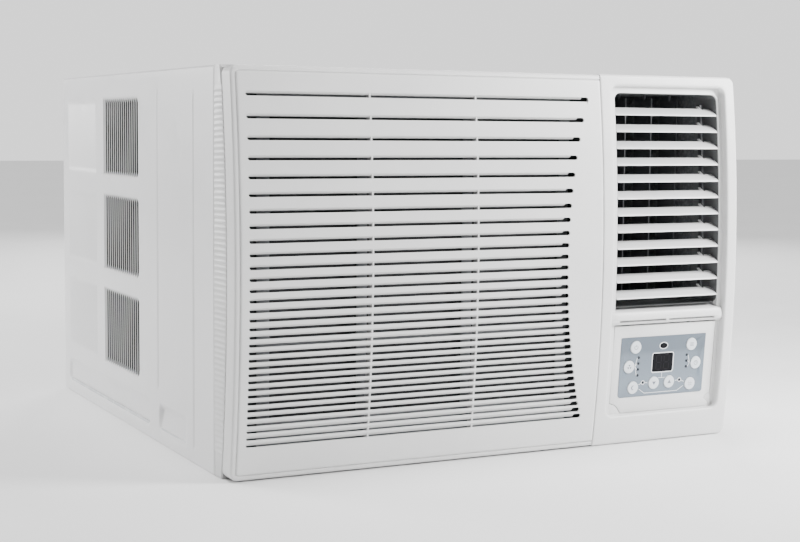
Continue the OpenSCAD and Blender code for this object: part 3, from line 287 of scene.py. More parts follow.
def louvred(blocks, u_plain, v_rows, v_marks, taper):
    """Stations and depths of a sheet with louvres. Each block is (start, pitch, count, depth, way):
    a strip leans from the sheet's plane down to the depth, at its far end where way is 1 and at
    its near end where way is -1, and closes to the plane over the taper at both ends of each row
    (low, high) in v_marks. Returns u stations, depths and the cells that stay."""
    u, lean = [np.asarray(u_plain, float)], [np.zeros(len(u_plain))]
    share = np.array([0, 0.3, 0.65, 1.0])
    for start, pitch, count, depth, way in blocks:
        k = np.repeat(np.arange(count), 4)
        phase = np.tile(share, count)
        u.append(start + (k + phase) * pitch + np.where(phase == 1, -1e-4, np.where(phase == 0, 1e-4, 0)))
        lean.append(depth * np.where(way > 0, phase, 1 - phase) ** 1.4)
    u, lean = np.concatenate(u), np.concatenate(lean)
    order = np.argsort(u, kind="stable")
    u, lean = u[order], lean[order]
    v = np.asarray(v_rows, float)
    open_share = sum(rise((v - low) / taper) * rise((high - v) / taper) for low, high in v_marks)
    depth = open_share[:, None] * lean[None, :]
    seam = np.diff(u) < 1e-3
    keep = np.ones((len(v) - 1, len(u) - 1), bool)
    keep[:, seam] = False
    return u, v, depth, keep


def pressing(u, v, u0, u1, v0, v1, slope, corner):
    """How far a pressed recess has come down, 0 to 1: it grows with the distance inside a
    rectangle with round corners, over the width of its slope."""
    cu, cv = (u0 + u1) / 2, (v0 + v1) / 2
    du = np.abs(u - cu) - ((u1 - u0) / 2 - corner)
    dv = np.abs(v - cv) - ((v1 - v0) / 2 - corner)
    outside = np.hypot(np.maximum(du, 0), np.maximum(dv, 0)) + np.minimum(np.maximum(du, dv), 0) - corner
    return rise(-outside / slope)


case_enamel = skin("case_enamel", (0.80, 0.80, 0.805), (0.77, 0.77, 0.775), (0.30, 0.42), 420, 0.012,
                   Specular_IOR_Level=0.5)
# Painted shade: the near-black inner face stands in for the shade inside the case seen through the louvres.
inner_painted_shade = skin("inner_painted_shade", (0.030, 0.031, 0.033), (0.018, 0.019, 0.020), (0.7, 0.85), 500, 0.05,
                    cloud=9)
louvre_rows = [(63.5, 164.5), (185.5, 286.5), (307.5, 408.5)]
strips_front = (y_case + 264, 8.8, 17, 4.6, 1)
strips_back = (y_case + 449, 9.2, 15, 2.6, -1)
bend_r = 3.0
case_top = 437.0


def side_sheet(hand):
    """The side as depth below its plane over (distance back, height), then the bend at the top."""
    plain = spans((case_start, y_case + 59, 6), (y_case + 59, y_case + 71, 1), (y_case + 71, y_case + 86, 4),
                  (y_case + 86, y_case + 100, 1.6), (y_case + 100, y_case + 176, 6),
                  (y_case + 176, y_case + 198, 1),
                  (y_case + 198, y_case + 222, 6), (y_case + 222, y_case + 238, 1.6),
                  (y_case + 238, y_case + 263.5, 6))
    plain = np.concatenate([plain, [y_case + 264 - 2e-4], spans((y_case + 413.8, y_case + 448.7, 5)),
                            [y_case + 449 - 2e-4],
                            spans((y_case + 587.2, y_case + 596, 1.6), (y_case + 596, y_back, 4))])
    heights = spans((0, 10, 3), (10, 50, 1.6), (50, 63.5, 4), (63.5, 75.5, 2), (75.5, 152.5, 11),
                    (152.5, 164.5, 2),
                    (164.5, 185.5, 6), (185.5, 197.5, 2), (197.5, 274.5, 11), (274.5, 286.5, 2),
                    (286.5, 307.5, 6),
                    (307.5, 319.5, 2), (319.5, 396.5, 11), (396.5, 408.5, 2), (408.5, 420, 2), (420, 434, 7))
    y, z, depth, keep = louvred([strips_front, strips_back], plain, heights, louvre_rows, 9)
    yy, zz = np.meshgrid(y, z)
    bead = lambda t, low, high: rise(1 - np.abs(yy - y_case
                                                - t) / 4.2) * rise((zz - low) / 8) * rise((high - zz) / 8)
    depth = depth + 1.3 * bead(191, 60, 416) + 1.3 * bead(65, 12, 413)
    depth = depth + 3.0 * pressing(yy, zz, y_case + 222, y_case + 594, 11, 48, 9, 12)
    wedge = pressing(yy, zz, y_case + 87, y_case + 191, 11, 49, 9, 12)
    depth = depth + wedge * (1.6 + 3.2 * rise((yy - y_case - 100) / 85) * rise((zz - 12) / 30))
    bend = np.radians(np.linspace(15, 90, 6))
    xx = np.vstack([half_w - depth, np.repeat((half_w - bend_r + bend_r * np.cos(bend))[:, None], len(y), 1)])
    z_all = np.concatenate([z, case_top - bend_r + bend_r * np.sin(bend)])
    keep = np.vstack([keep, np.repeat(keep[-1:], len(bend), 0)])
    keep[len(z) - 1:] = True
    points = np.stack([hand * xx, np.repeat(y[None, :], len(z_all), 0),
                       np.repeat(z_all[:, None], len(y), 1)], -1)
    return grid(points, keep, flip=hand < 0)


for hand, node in ((-1, "cabinet_left_panel"), (1, "cabinet_right_panel")):
    side_panel = piece(node.replace("cabinet", "pressed"), [side_sheet(hand)], case_enamel, "case",
                       [node])
    finished(side_panel, wall=sheet_t, angle=50, lining=inner_painted_shade)

# ---- Case: top panel ----
# The lid lies between the bends of the sides, with two groups of twelve hooded slits
# across it above the condenser and a shallow pressed border that stiffens it.
lid_half = half_w - bend_r - 0.25
lid_plain_y = spans((case_start, y_case + 40, 3), (y_case + 40, y_case + 299, 20))
lid_plain_y = np.concatenate([lid_plain_y, [y_case + 300 - 2e-4],
                              spans((y_case + 444.6, y_back - 40, 12), (y_back - 40, y_back, 3))])
lid_x = spans((-lid_half, -282, 3), (-282, -205, 15), (-205, -190, 2.5), (-190, -50, 20), (-50, -35, 2.5),
              (-35, 35, 14),
              (35, 50, 2.5), (50, 190, 20), (190, 205, 2.5), (205, 282, 15), (282, lid_half, 3))
lid_y, lid_v, lid_depth, lid_keep = louvred([(y_case + 300, 12, 12, 2.6, -1)], lid_plain_y, lid_x,
                                            [(-196, -44), (44, 196)], 8)
lid_yy, lid_xx = np.meshgrid(lid_y, lid_v)
lid_depth = lid_depth + 1.2 * (pressing(lid_yy, lid_xx, y_case + 16, y_back - 20, -300, 300, 6, 22)
                               - pressing(lid_yy, lid_xx, y_case + 30, y_back - 34, -286, 286, 6, 12))
lid = piece("pressed_top_panel",
            [grid(np.stack([lid_xx, lid_yy, case_top - lid_depth], -1), lid_keep, flip=True)],
            case_enamel, "case", ["cabinet_top_panel"])
finished(lid, wall=sheet_t, angle=50)

# ---- Front moulding ----
# One bowed moulding of satin white plastic frames the whole front. On the right it
# forms a round-edged pocket with the air outlet above and the control bay below a
# chin bar. On the left an open tray with a comb edge carries the hinged grille.
y_front = -337.5
face_radius = 1499.9
mid_z = 218.5
seam_x = 130.0
outlet_right, outlet_top = 304.0, 416.0
bay_low = 35.2
lip_left = 154.6


def face_y(z):
    """Depth of the bowed face: an arc of a very large radius, furthest forward at mid height."""
    return y_front + face_radius - np.sqrt(face_radius ** 2 - (np.asarray(z) - mid_z) ** 2)


def round_loop(x0, x1, z0, z1, left_r, right_r, rows=26):
    """A rectangle's outline with round corners as (x, z) points, always the same number of them:
    nine to a corner and the rest along the upright sides, so that they can follow the bow."""
    turn = np.radians(np.linspace(0, 90, 9))
    lower, upper = np.linspace(0, 1, rows)[1:-1], np.linspace(1, 0, rows)[1:-1]
    arcs = []
    for cx, cz, r, start in ((x1 - right_r, z0 + right_r, right_r, -90),
                             (x1 - right_r, z1 - right_r, right_r, 0),
                             (x0 + left_r, z1 - left_r, left_r, 90), (x0 + left_r, z0 + left_r, left_r, 180)):
        angle = math.radians(start) + turn
        arcs.append(np.stack([cx + r * np.cos(angle), cz + r * np.sin(angle)], 1))
    right_side = np.stack([np.full(rows - 2, x1), z0 + right_r + (z1 - z0 - 2 * right_r) * lower], 1)
    left_side = np.stack([np.full(rows - 2, x0), z0 + left_r + (z1 - z0 - 2 * left_r) * upper], 1)
    return np.concatenate([arcs[0], right_side, arcs[1], arcs[2], left_side, arcs[3]])


def at_setback(loop, setback):
    """A ring of points on the bowed face, moved back by the setback."""
    return np.stack([loop[:, 0], face_y(loop[:, 1]) + setback, loop[:, 1]], 1)


def at_depth(loop, y):
    """A flat ring of points at depth y."""
    return np.stack([loop[:, 0], np.full(len(loop), float(y)), loop[:, 1]], 1)


def box_shape(x0, x1, y0, y1, z0, z1):
    """The six sides of a plain block, for hidden ledges and rails."""
    ring = np.array([[x0, y0], [x1, y0], [x1, y1], [x0, y1]], float)
    rings = np.stack([np.column_stack([ring, np.full(4, z)]) for z in (z0, z1)])
    return loft(rings)


def blend_loops(inner, outer, share):
    """The loop that lies at this share of the way from the inner to the outer loop."""
    return inner + (outer - inner) * share


front_plastic = skin("front_plastic", (0.74, 0.74, 0.735), (0.70, 0.70, 0.70), (0.34, 0.46), 1500, 0.010,
                     cloud=7,
                     Specular_IOR_Level=0.5)
edge_r, pocket_r = 3.0, 9.0
outer_loop = round_loop(seam_x, half_w, 0, case_top, 0.01, 9)
rings = [at_depth(outer_loop, y_case)]
edge_turn = np.radians(np.linspace(0, 90, 6))
for a in edge_turn:
    inset, setback = edge_r * (1 - math.cos(a)), edge_r * (1 - math.sin(a))
    seam_inset = 0.9 * (1 - math.cos(a))
    loop = round_loop(seam_x + seam_inset, half_w - inset, inset, case_top - inset, 0.01, 9 - inset)
    rings.append(at_setback(loop, setback))
rim_loop = round_loop(seam_x + 0.9, half_w - edge_r, edge_r, case_top - edge_r, 0.01, 9 - edge_r)
mouth_loop = round_loop(146 - 3, 309 + 3, 34.6 - 3, 423.5 + 3, pocket_r + 3, pocket_r + 3)
for share in (0.15, 0.4, 0.7, 1.0):
    rings.append(at_setback(blend_loops(rim_loop, mouth_loop, share), 0))
for a in edge_turn[1:]:
    inset, setback = 3.0 * math.sin(a), 3.0 * (1 - math.cos(a))
    corner = pocket_r + 3 - inset
    rings.append(at_setback(round_loop(143 + inset, 312 - inset, 31.6 + inset, 426.5 - inset, corner,
                                       corner), setback))
pocket_floor = round_loop(146, 309, 34.6, 423.5, pocket_r, pocket_r)
rings += [at_setback(pocket_floor, 5.5), at_setback(pocket_floor, 8.0),
          at_setback(round_loop(146.5, 308.5, 35.1, 423, pocket_r, pocket_r), 8.5)]
throat = round_loop(lip_left, outlet_right, bay_low, outlet_top, 8, 8)
duct_loop = round_loop(lip_left + 0.3, outlet_right - 0.3, bay_low + 0.3, outlet_top - 0.3, 8, 8)
rings += [at_setback(throat, 8.5), at_setback(duct_loop, 9.1), at_depth(duct_loop, y_case)]
section = loft(rings, caps=False, flip=True)
duct_outside = round_loop(148.5, 306.5, 32.6, 418.5, 8, 8)
shell_inside = round_loop(seam_x + 3, half_w - 3, 3, case_top - 3, 0.01, 6)
hollow_front = -308
back_ring = loft([at_depth(duct_loop, y_case), at_depth(duct_outside, y_case),
                  at_depth(duct_outside, hollow_front),
                  at_depth(shell_inside, hollow_front), at_depth(shell_inside, y_case),
                  at_depth(outer_loop, y_case)],
                 caps=False, flip=True)

# The chin bar: its section (setback, z) carried from wall to wall, with two drain slits cut in
chin_x = np.array([146.2, 158, 158, 190, 225, 225, 229, 229, 262, 297, 297, 307.6])
slit_open = np.array([0, 0, 1, 1, 1, 0, 0, 1, 1, 1, 0, 0.0])
chin = [(62, 143.6), (8.4, 143.6), (6.0, 143.7), (5.2, 144.1), (4.2, 145.3), (2.9, 146.6), (9, 146.8),
        (9, 148.9), (2.4, 149.1),
        (2.2, 150.2), (2.7, 153.0), (3.6, 156.2), (4.3, 157.8), (5.2, 158.7), (6.4, 159.1), (12, 160.4),
        (20, 163.4), (62, 164.2)]
chin_rings = []
for x, is_open in zip(chin_x, slit_open):
    ring = np.array(chin, float)
    ring[6:8, 0] = np.where(is_open, 9.0, (2.8, 2.5))
    y = np.where(ring[:, 0] > 50, y_case, face_y(ring[:, 1]) + ring[:, 0])
    chin_rings.append(np.stack([np.full(len(ring), x), y, ring[:, 1]], 1))
chin_bar = loft(chin_rings, flip=True)

# The tray's walls: the comb edge has a tooth every six millimetres that nearly meets the grille
tooth_pitch, tooth_w = 6.0, 2.6
tooth_z = 27 + np.arange(65) * tooth_pitch
comb_z = np.sort(np.concatenate([[0, 2.6, 416, 416, 434, case_top], tooth_z - tooth_w / 2 - 0.3,
                                 tooth_z - tooth_w / 2 + 0.3,
                                 tooth_z + tooth_w / 2 - 0.3, tooth_z + tooth_w / 2 + 0.3]))
comb_z[np.searchsorted(comb_z, 416) + 1] += 0.01
is_tooth = (np.abs((comb_z - 27 + tooth_pitch / 2) % tooth_pitch
                   - tooth_pitch / 2) < tooth_w / 2) & (comb_z > 25) & (comb_z < 413)
comb_y = np.where(comb_z > 416, face_y(comb_z) + 27.6, face_y(comb_z) + 25.9 - 1.5 * is_tooth)
pad_x = np.where(is_tooth, 0.0, 0.35)
wall_outside, wall_inside = -half_w, -half_w + 3
wall_section = ((wall_outside + pad_x + 0.5, comb_y), (wall_outside + pad_x, comb_y + 0.6),
                (wall_outside + pad_x, y_case - 2.2),
                (wall_outside, y_case - 1.8), (wall_outside, y_case), (wall_inside, y_case),
                (wall_inside, comb_y))
left_wall = loft(np.stack([np.stack(np.broadcast_arrays(x, y, comb_z), 1) for x, y in wall_section], 1))
relief_y, flange_back = -291.5, -279.5
tray = [left_wall, box_shape(-323, seam_x + 1, relief_y, y_case, 434, 437),
        box_shape(-323, seam_x + 1, float(face_y(0)) + 26, y_case, 0, 3),
        box_shape(-323, -310, flange_back - 3, flange_back, 2.5, 434.5),
        box_shape(118, seam_x + 1, flange_back - 3, flange_back, 2.5, 434.5),
        box_shape(-311, 119, flange_back - 3, flange_back, 2.5, 16),
        box_shape(-311, 119, flange_back - 3, flange_back, 423, 434.5)]
lug_turn = np.radians(np.linspace(90, 270, 13))
for lug_x in (-320.5, 122.0):
    outline = np.concatenate([np.stack([-304.5 + 2.6 * np.cos(lug_turn), 430 + 2.6 * np.sin(lug_turn)], 1),
                              [[flange_back, 427.4], [flange_back, 434.5], [-289.5, 434.5], [-289.5, 432.6]]])
    tray.append(loft(np.stack([np.column_stack([np.full(len(outline), x), outline])
                               for x in (lug_x, lug_x + 4)])))
front = piece("front_moulding", [section, back_ring], front_plastic, "case", ["front_frame"])
finished(front, angle=40)
chin_piece = piece("outlet_chin", [chin_bar], front_plastic, "case", outward=True)
finished(chin_piece, edge=0.35, angle=40)
tray_piece = piece("grille_tray", tray, front_plastic, "case", outward=True)
finished(tray_piece, edge=0.25, angle=40, segments=1)

# ---- Intake grille ----
# The hinged panel is one moulded shell that follows the front's bow. Thirty-four
# slots, wider apart towards the top, end on an arc; each has an inclined blade
# behind its upper lip, and two upright ribs tie the blades together.
grille_x0, grille_x1, grille_z0, grille_z1 = -324.0, 129.5, 1.0, 436.0
rim = np.array([(0, 24), (0, 13.4), (0, 9.6), (0, 4.6), (0, 3.2), (0.25, 2.2), (0.9, 1.3), (1.9, 0.85),
                (3.0, 0.75), (5.0, 0.7),
                (5.5, 1.75), (5.9, 1.85), (6.5, 0.45), (7.2, 0.06), (8.6, 0), (10.5, 0), (12, 0)])
seam_rim = np.array([(0, 24), (0, 13.4), (0, 9.6), (0, 4.6), (0, 3.2), (0, 0.8), (0.3, 0.25), (0.8, 0),
                     (3.0, 0), (8.0, 0),
                     (10.5, 0)])
corner_r, corner_zone = 9.5, 12.0
slot_rows, slot_half, slot_round = 34, 2.6, 2.6
steps = 1 + 2.1 * np.maximum(0, 1 - np.arange(slot_rows - 1) / 22) ** 2
slot_z = 407 - 375 * np.concatenate([[0], np.cumsum(steps)]) / steps.sum()
slot_x0 = grille_x0 + 15.5


def slot_end(z):
    """Where a slot at height z ends on the right: on an arc that leaves the plain band by the seam."""
    return grille_x1 - 47 + 610 - np.sqrt(610 ** 2 - (z - mid_z) ** 2)


# Columns: the left rim, the slots' left ends, their length, their right ends, the plain band and the seam edge
left_end = np.array([0, 0.12, 0.5, 1.1, 1.8, 2.6])
right_end = np.array([9.0, 7.4, 5.8, 4.2, 2.6, 1.8, 1.1, 0.5, 0.12, 0])
middle = np.linspace(0, 1, 26)[1:-1]


def column_x(z):
    """X of every column at height z, for an array of heights: one row of stations each."""
    z = np.asarray(z, float)[:, None]
    end = slot_end(np.clip(z, slot_z[-1], slot_z[0]))
    left = np.repeat(grille_x0 + rim[:, 0][None, :], len(z), 0)
    tip = np.repeat(slot_x0 + left_end[None, :], len(z), 0)
    run = slot_x0 + 2.6 + (end - 9 - slot_x0 - 2.6) * middle[None, :]
    tail = end - right_end[None, :]
    band = end + (grille_x1 - 10.5 - end) * np.array([[0.25, 0.6]])
    seam = np.repeat(grille_x1 - seam_rim[::-1, 0][None, :], len(z), 0)
    return np.hstack([left, tip, run, tail, band, seam])


columns = column_x([mid_z]).shape[1]
col_left = np.concatenate([rim[:, 0], np.full(columns - len(rim), 99.0)])
col_left_back = np.concatenate([rim[:, 1], np.zeros(columns - len(rim))])
col_seam_back = np.concatenate([np.zeros(columns - len(seam_rim)), seam_rim[::-1, 1]])
tip_from_left = np.full(columns, -1.0)
tip_from_left[len(rim):len(rim) + 6] = left_end
tip_from_right = np.full(columns, -1.0)
run_from = len(rim) + 6
tip_from_right[run_from + 24:run_from + 34] = right_end
in_slot = np.zeros(columns, bool)
in_slot[len(rim):run_from + 34] = True
near = np.where(tip_from_left >= 0, tip_from_left,
                np.where(tip_from_right >= 0, np.minimum(tip_from_right, slot_round), slot_round))
lip = np.where(in_slot,
               np.sqrt(np.maximum(slot_round ** 2 - (slot_round - np.minimum(near, slot_round)) ** 2, 0)),
               0) * slot_half / slot_round

# Rows from the top: the top rim, then each slot's lips with a line halfway to the next, then the bottom rim
far_inside = 99.0
low_plain = 20.0
below = np.append(slot_z[1:], 2 * low_plain - slot_z[-1])
slot_lines = np.stack([slot_z, slot_z, (slot_z + below) / 2], 1).ravel()
first_line = (slot_z[0] + grille_z1 - 12) / 2
plain = 1 + len(slot_lines)
rows_z = np.concatenate([grille_z1 - rim[:, 0], [first_line], slot_lines, grille_z0 + rim[::-1, 0]])
rows_half = np.concatenate([np.zeros(len(rim) + 1), np.tile([1.0, -1.0, 0.0], slot_rows), np.zeros(len(rim))])
rows_back = np.concatenate([rim[:, 1], np.zeros(plain), rim[::-1, 1]])
rows_inset = np.concatenate([rim[:, 0], np.full(plain, far_inside), rim[::-1, 0]])
top_side = np.arange(len(rows_z)) < len(rows_z) / 2

grille_x = column_x(rows_z)
grille_z = rows_z[:, None] + rows_half[:, None] * lip[None, :]
inset_row, inset_col = np.broadcast_arrays(rows_inset[:, None], col_left[None, :])
deeper = np.where(inset_row <= inset_col, rows_back[:, None], col_left_back[None, :])
setback = np.maximum(deeper, col_seam_back[None, :])
# Left corners: the loop of each inset is carried round a corner, half its arc to each side of the diagonal
zone = (inset_row < corner_zone) & (inset_col < corner_zone)
loop_inset = np.minimum(inset_row, inset_col)
radius = np.maximum(corner_r - loop_inset, 0)
along = (np.maximum(inset_row, inset_col) - loop_inset) / (corner_zone - loop_inset + 1e-9)
path = along * (math.pi / 4 * radius + corner_zone - loop_inset - radius)
on_arc = path < math.pi / 4 * radius
angle = math.pi / 4 + path / np.maximum(radius, 1e-9)
far = np.where(on_arc, loop_inset + radius - radius * np.cos(angle),
               loop_inset + radius + path - math.pi / 4 * radius)
close = np.where(on_arc, loop_inset + radius - radius * np.sin(angle), loop_inset)
from_left = np.where(inset_col > inset_row, far, close)
from_edge = np.where(inset_col > inset_row, close, far)
grille_x = np.where(zone, grille_x0 + from_left, grille_x)
grille_z = np.where(zone, np.where(top_side[:, None], grille_z1 - from_edge, grille_z0 + from_edge), grille_z)
grille_points = np.stack([grille_x, face_y(grille_z) + setback, grille_z], -1)

keep = np.ones((len(rows_z) - 1, columns - 1), bool)
slot_col = in_slot[:-1] & in_slot[1:]
upper_lips = np.where(rows_half == 1)[0]
keep[np.ix_(upper_lips[:-1], np.where(slot_col)[0])] = False
# The filter's slot and the two hinge notches in the top wall
wall_x = (grille_x[0, :-1] + grille_x[0, 1:]) / 2
keep[2, (wall_x > -313.6) & (wall_x < 119.1)] = False
left_notch = (inset_col[0, :-1] >= 0.9) & (inset_col[0, 1:] <= 7.2)
right_notch = (grille_x[0, :-1] > grille_x1 - 8.1) & (grille_x[0, 1:] < grille_x1 - 2.9)
keep[0, left_notch | right_notch] = False
shell = grid(grille_points, keep, flip=True)

# Blades: a short section (drop, setback) hung from the upper lip of every slot but the last
blade_cols = np.arange(len(rim) + 3, run_from + 25)
blade_drop = np.array([0, 0.4, 0.8, 1.6, 2.4, 2.9])
blade_back = np.array([0, 0.9, 1.2, 2.2, 3.2, 8.2])
patches = [shell]
for k, row in enumerate(upper_lips[:-1]):
    low_rows = np.clip((70 - slot_z[k]) / 15, 0, 1)
    drop = blade_drop + low_rows * np.array([0, 0, 0.1, 0.4, 0.9, 0.9])
    reach = min(8.2, -318.4 - float(face_y(slot_z[k])))
    back = np.where(blade_back > 4, reach - low_rows * 3.5, blade_back)
    lip_x, lip_z = grille_x[row, blade_cols], grille_z[row, blade_cols]
    z = lip_z[None, :] - drop[:, None]
    patches.append(grid(np.stack([np.repeat(lip_x[None, :], 6, 0), face_y(z) + back[:, None], z], -1),
                        flip=True))
grille = piece("grille_panel", patches, front_plastic, "grille", ["intake_grille"])
finished(grille, wall=1.9, angle=28)

rib_z = spans((25, 415, 6))
inner = face_y(rib_z)
ribs = []
for x in (-166.0, -36.0):
    back = np.minimum(inner + 10, -317.3)
    ring = [np.stack([np.full(len(rib_z), x + dx), depth, rib_z], 1)
            for dx, depth in ((-1.15, inner + 1.9), (-0.8, inner + 1.3), (0.8, inner + 1.3),
                              (1.15, inner + 1.9), (1.15, back), (-1.15, back))]
    ribs.append(loft(np.stack(ring, 1)))
for low, high in ((12.0, 116.0), (321.0, 425.0)):
    rail_z = spans((low, high, 8))
    for x0, x1 in ((-321.5, -310.0), (115.5, 127.0)):
        ring = [np.stack([np.full(len(rail_z), x), depth, rail_z], 1)
                for x, depth in ((x0, face_y(rail_z) + 1.6), (x1, face_y(rail_z) + 1.6),
                                 (x1, np.full(len(rail_z), -316.8)),
                                 (x0, np.full(len(rail_z), -316.8)))]
        ribs += [loft(np.stack(ring, 1)), box_shape(x0, x1, -312.2, -310.3, low, high)]
rib_piece = piece("grille_ribs", ribs, front_plastic, "grille", outward=True)
finished(rib_piece, angle=30)

# ---- Hinge pins ----
# Two drawn steel pins, pressed into the grille's side walls, turn in the tray's lugs.


def drawn_steel(name, colour, shade, gloss, stretch, streaks_mm):
    """Bare drawn or turned metal: fine streaks along one axis and a faint uneven tarnish."""
    mat, tree, principled = shader(name, Metallic=1.0)
    streaks = noise(tree, 700, 4, 0.65, stretch=stretch)
    tree.links.new(ramp(tree, streaks, [(0.3, rgb(*shade)), (0.7, rgb(*colour))]),
                   principled.inputs["Base Color"])
    tree.links.new(between(tree, noise(tree, 45, 5, 0.6), *gloss), principled.inputs["Roughness"])
    bump(tree, principled, streaks, streaks_mm)
    return mat


def dress(material, *nodes):
    """Gives CAD nodes that stay in sight their material."""
    for node in nodes:
        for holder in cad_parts[node].material_slots:
            holder.material = material
        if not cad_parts[node].material_slots:
            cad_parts[node].data.materials.append(material)


pin_steel = drawn_steel("pin_steel", (0.62, 0.62, 0.63), (0.48, 0.48, 0.50), (0.22, 0.38), (0.06, 1, 1),
                        0.006)
dress(pin_steel, "grille_hinge_pins")

# ---- Air filter ----
# A moulded frame with posts, bars and two pull tabs lifts out of the grille's rails; its
# dark grey is painted shade. A fine dark net of woven thread is welded over the whole of its back.


def plate(outline, holes=()):
    """Triangles of a flat plate in (a, b): the inside of the outline without the holes.
    A triangle stays when a ray from its middle crosses the loops an odd number of times.
    Returns the points, the triangles and each edge loop's point numbers."""
    loops = [np.asarray(outline, float)] + [np.asarray(h, float) for h in holes]
    points = np.concatenate(loops)
    numbers, start = [], 0
    for loop in loops:
        numbers.append(list(range(start, start + len(loop))))
        start += len(loop)
    edges = [(n[k - 1], n[k]) for n in numbers for k in range(len(n))]
    cut = geometry.delaunay_2d_cdt([Vector(p) for p in points], edges, [], 0, 1e-6)
    flat, triangles = np.array([tuple(p) for p in cut[0]]), np.array([list(t) for t in cut[2]])
    middle = flat[triangles].mean(1)
    inside = np.zeros(len(triangles), bool)
    for loop in loops:
        a, b = loop, np.roll(loop, -1, 0)
        straddles = (a[:, 1] > middle[:, 1:]) != (b[:, 1] > middle[:, 1:])
        drop = np.where(b[:, 1] == a[:, 1], 1, b[:, 1] - a[:, 1])
        cross_at = a[:, 0] + (middle[:, 1:] - a[:, 1]) / drop * (b[:, 0] - a[:, 0])
        inside ^= (np.sum(straddles & (middle[:, :1] < cross_at), 1) % 2).astype(bool)
    return flat, [list(t) for t in triangles[inside].tolist()], numbers


def slab(outline, holes, place, near, far):
    """A closed plate between two depths: place turns (a, b, depth) arrays into points."""
    flat, triangles, numbers = plate(outline, holes)
    count = len(flat)
    sides = [[n[k - 1], n[k], n[k] + count, n[k - 1] + count] for n in numbers for k in range(len(n))]
    points = np.concatenate([place(flat[:, 0], flat[:, 1], np.full(count, d, float)) for d in (near, far)])
    return points, triangles + [[c + count for c in t[::-1]] for t in triangles] + sides


def rectangle(a0, a1, b0, b1, corner=0.0, steps=5):
    """The outline of a rectangle with round corners."""
    if corner <= 0:
        return np.array([[a0, b0], [a1, b0], [a1, b1], [a0, b1]], float)
    turn = np.radians(np.linspace(0, 90, steps))
    return np.concatenate([np.stack([cx + corner * np.cos(turn + q), cy + corner * np.sin(turn + q)], 1)
                           for cx, cy,
                           q in ((a1 - corner, b0 + corner, -math.pi / 2), (a1 - corner, b1 - corner, 0),
                                             (a0 + corner, b1 - corner, math.pi / 2),
                                 (a0 + corner, b0 + corner, math.pi))])


def upright(a, b, depth):
    """Places a plate upright and square: a is X, b is Z and the depth is Y."""
    return np.stack([a, depth, b], 1)


# Painted shade: the frame is coloured dark grey for the shade it sits in behind the grille's slots.
filter_plastic = skin("filter_plastic", (0.26, 0.27, 0.28), (0.22, 0.23, 0.24), (0.42, 0.55), 1100, 0.012,
                      cloud=11)
filter_x = (-313.0, 118.5)
posts = [(-292, -278), (-176, -164), (-46, -34), (80, 93)]
bars = [(14, 62), (138, 150), (284, 296), (404, 424)]
windows = [rectangle(a1, b0, z1, w0, 3) for (a0, a1), (b0, b1) in zip(posts[:-1], posts[1:])
           for (z0, z1), (w0, w1) in zip(bars[:-1], bars[1:])]
filter_shape = [slab(rectangle(posts[0][0], posts[-1][1], 14, 424, 2), windows, upright, -316.5, -314.6)]
for x in (-217.25, 22.75):
    filter_shape.append(slab(rectangle(x - 30, x + 30, 420, 431, 4),
                             [rectangle(x - 22, x + 22, 424.5, 427.5, 1)], upright, -316.4, -314.7))
flange = slab(rectangle(filter_x[0], filter_x[1], 14, 424, 2), [rectangle(-310.5, 116, 17, 421, 2)], upright,
              -314.6, -313.2)
filter_piece = piece("filter_bars", filter_shape, filter_plastic, "filter",
                     ["filter_frame"], outward=True)
finished(filter_piece, edge=0.4, angle=40)

net_mat, net_tree, net_shader = shader("filter_net", Roughness=0.62)
thread = []
for direction in ("X", "Z"):
    wave = net_tree.nodes.new("ShaderNodeTexWave")
    wave.bands_direction = direction
    wave.inputs["Scale"].default_value = 300
    wave.inputs["Distortion"].default_value = 0.0
    place_net = net_tree.nodes.new("ShaderNodeTexCoord")
    net_tree.links.new(place_net.outputs["Object"], wave.inputs["Vector"])
    thread.append(wave.outputs["Fac"])
weave = net_tree.nodes.new("ShaderNodeMath")
weave.operation = "MAXIMUM"
for k in (0, 1):
    net_tree.links.new(thread[k], weave.inputs[k])
net_tree.links.new(ramp(net_tree, weave.outputs["Value"],
                        [(0.55, rgb(0.012, 0.013, 0.015)), (0.95, rgb(0.075, 0.08, 0.085))]),
                   net_shader.inputs["Base Color"])
bump(net_tree, net_shader, weave.outputs["Value"], 0.15)
net_x, net_z = spans((filter_x[0] + 0.5, filter_x[1] - 0.5, 6)), spans((14.5, 423.5, 6))
net_xx, net_zz = np.meshgrid(net_x, net_z)
slack = 0.35 * np.sin((net_xx + 292) / 116 * math.pi) ** 2 * np.sin((net_zz - 14) / 137 * math.pi) ** 2
net = piece("filter_net", [grid(np.stack([net_xx, -314.0 + slack, net_zz], -1), flip=True)], net_mat,
            "filter", ["filter_mesh"])
finished(net, wall=0.35, angle=30)
net_edge = piece("filter_edge", [flange], net_mat, "filter", outward=True)
finished(net_edge, edge=0.2, angle=40, segments=1)

# ---- Air vanes ----
# Twelve slim moulded blades with a round nose and a thin tail turn on pins in the
# duct's walls. A cranked ear on each holds the pin that the link bar joins. A dark grey
# sheet of painted shade lines the duct, and the four guide blades behind the vanes are painted near-black as
# painted shade.
vane_white = skin("vane_white", (0.72, 0.72, 0.72), (0.68, 0.685, 0.69), (0.28, 0.4), 1300, 0.008, cloud=13,
                  Specular_IOR_Level=0.5)
vane_x = np.array([155.6, 155.72, 156.1, 156.8, 162, 190, 220, 250, 280, 289.99, 290.01, 293.49, 293.51, 300,
                   301.8, 302.5, 302.88, 303])
vane_end = np.array([0.35, 0.7, 0.92, 1, 1, 1, 1, 1, 1, 1, 1, 1, 1, 1, 1, 0.92, 0.7, 0.35])
chord_front, chord_back, vane_thick = -10.5, 7.5, 2.2
nose = np.linspace(0, 1, 11) ** 1.6
half_thick = np.where(nose < 0.16, np.sqrt(np.clip(1 - (1 - nose / 0.16) ** 2, 0, 1)),
                      1 - 0.62 * (np.maximum(nose - 0.16, 0) / 0.84) ** 1.5)
section_c = chord_front + (chord_back - chord_front) * np.concatenate([nose[::-1], nose[1:]])
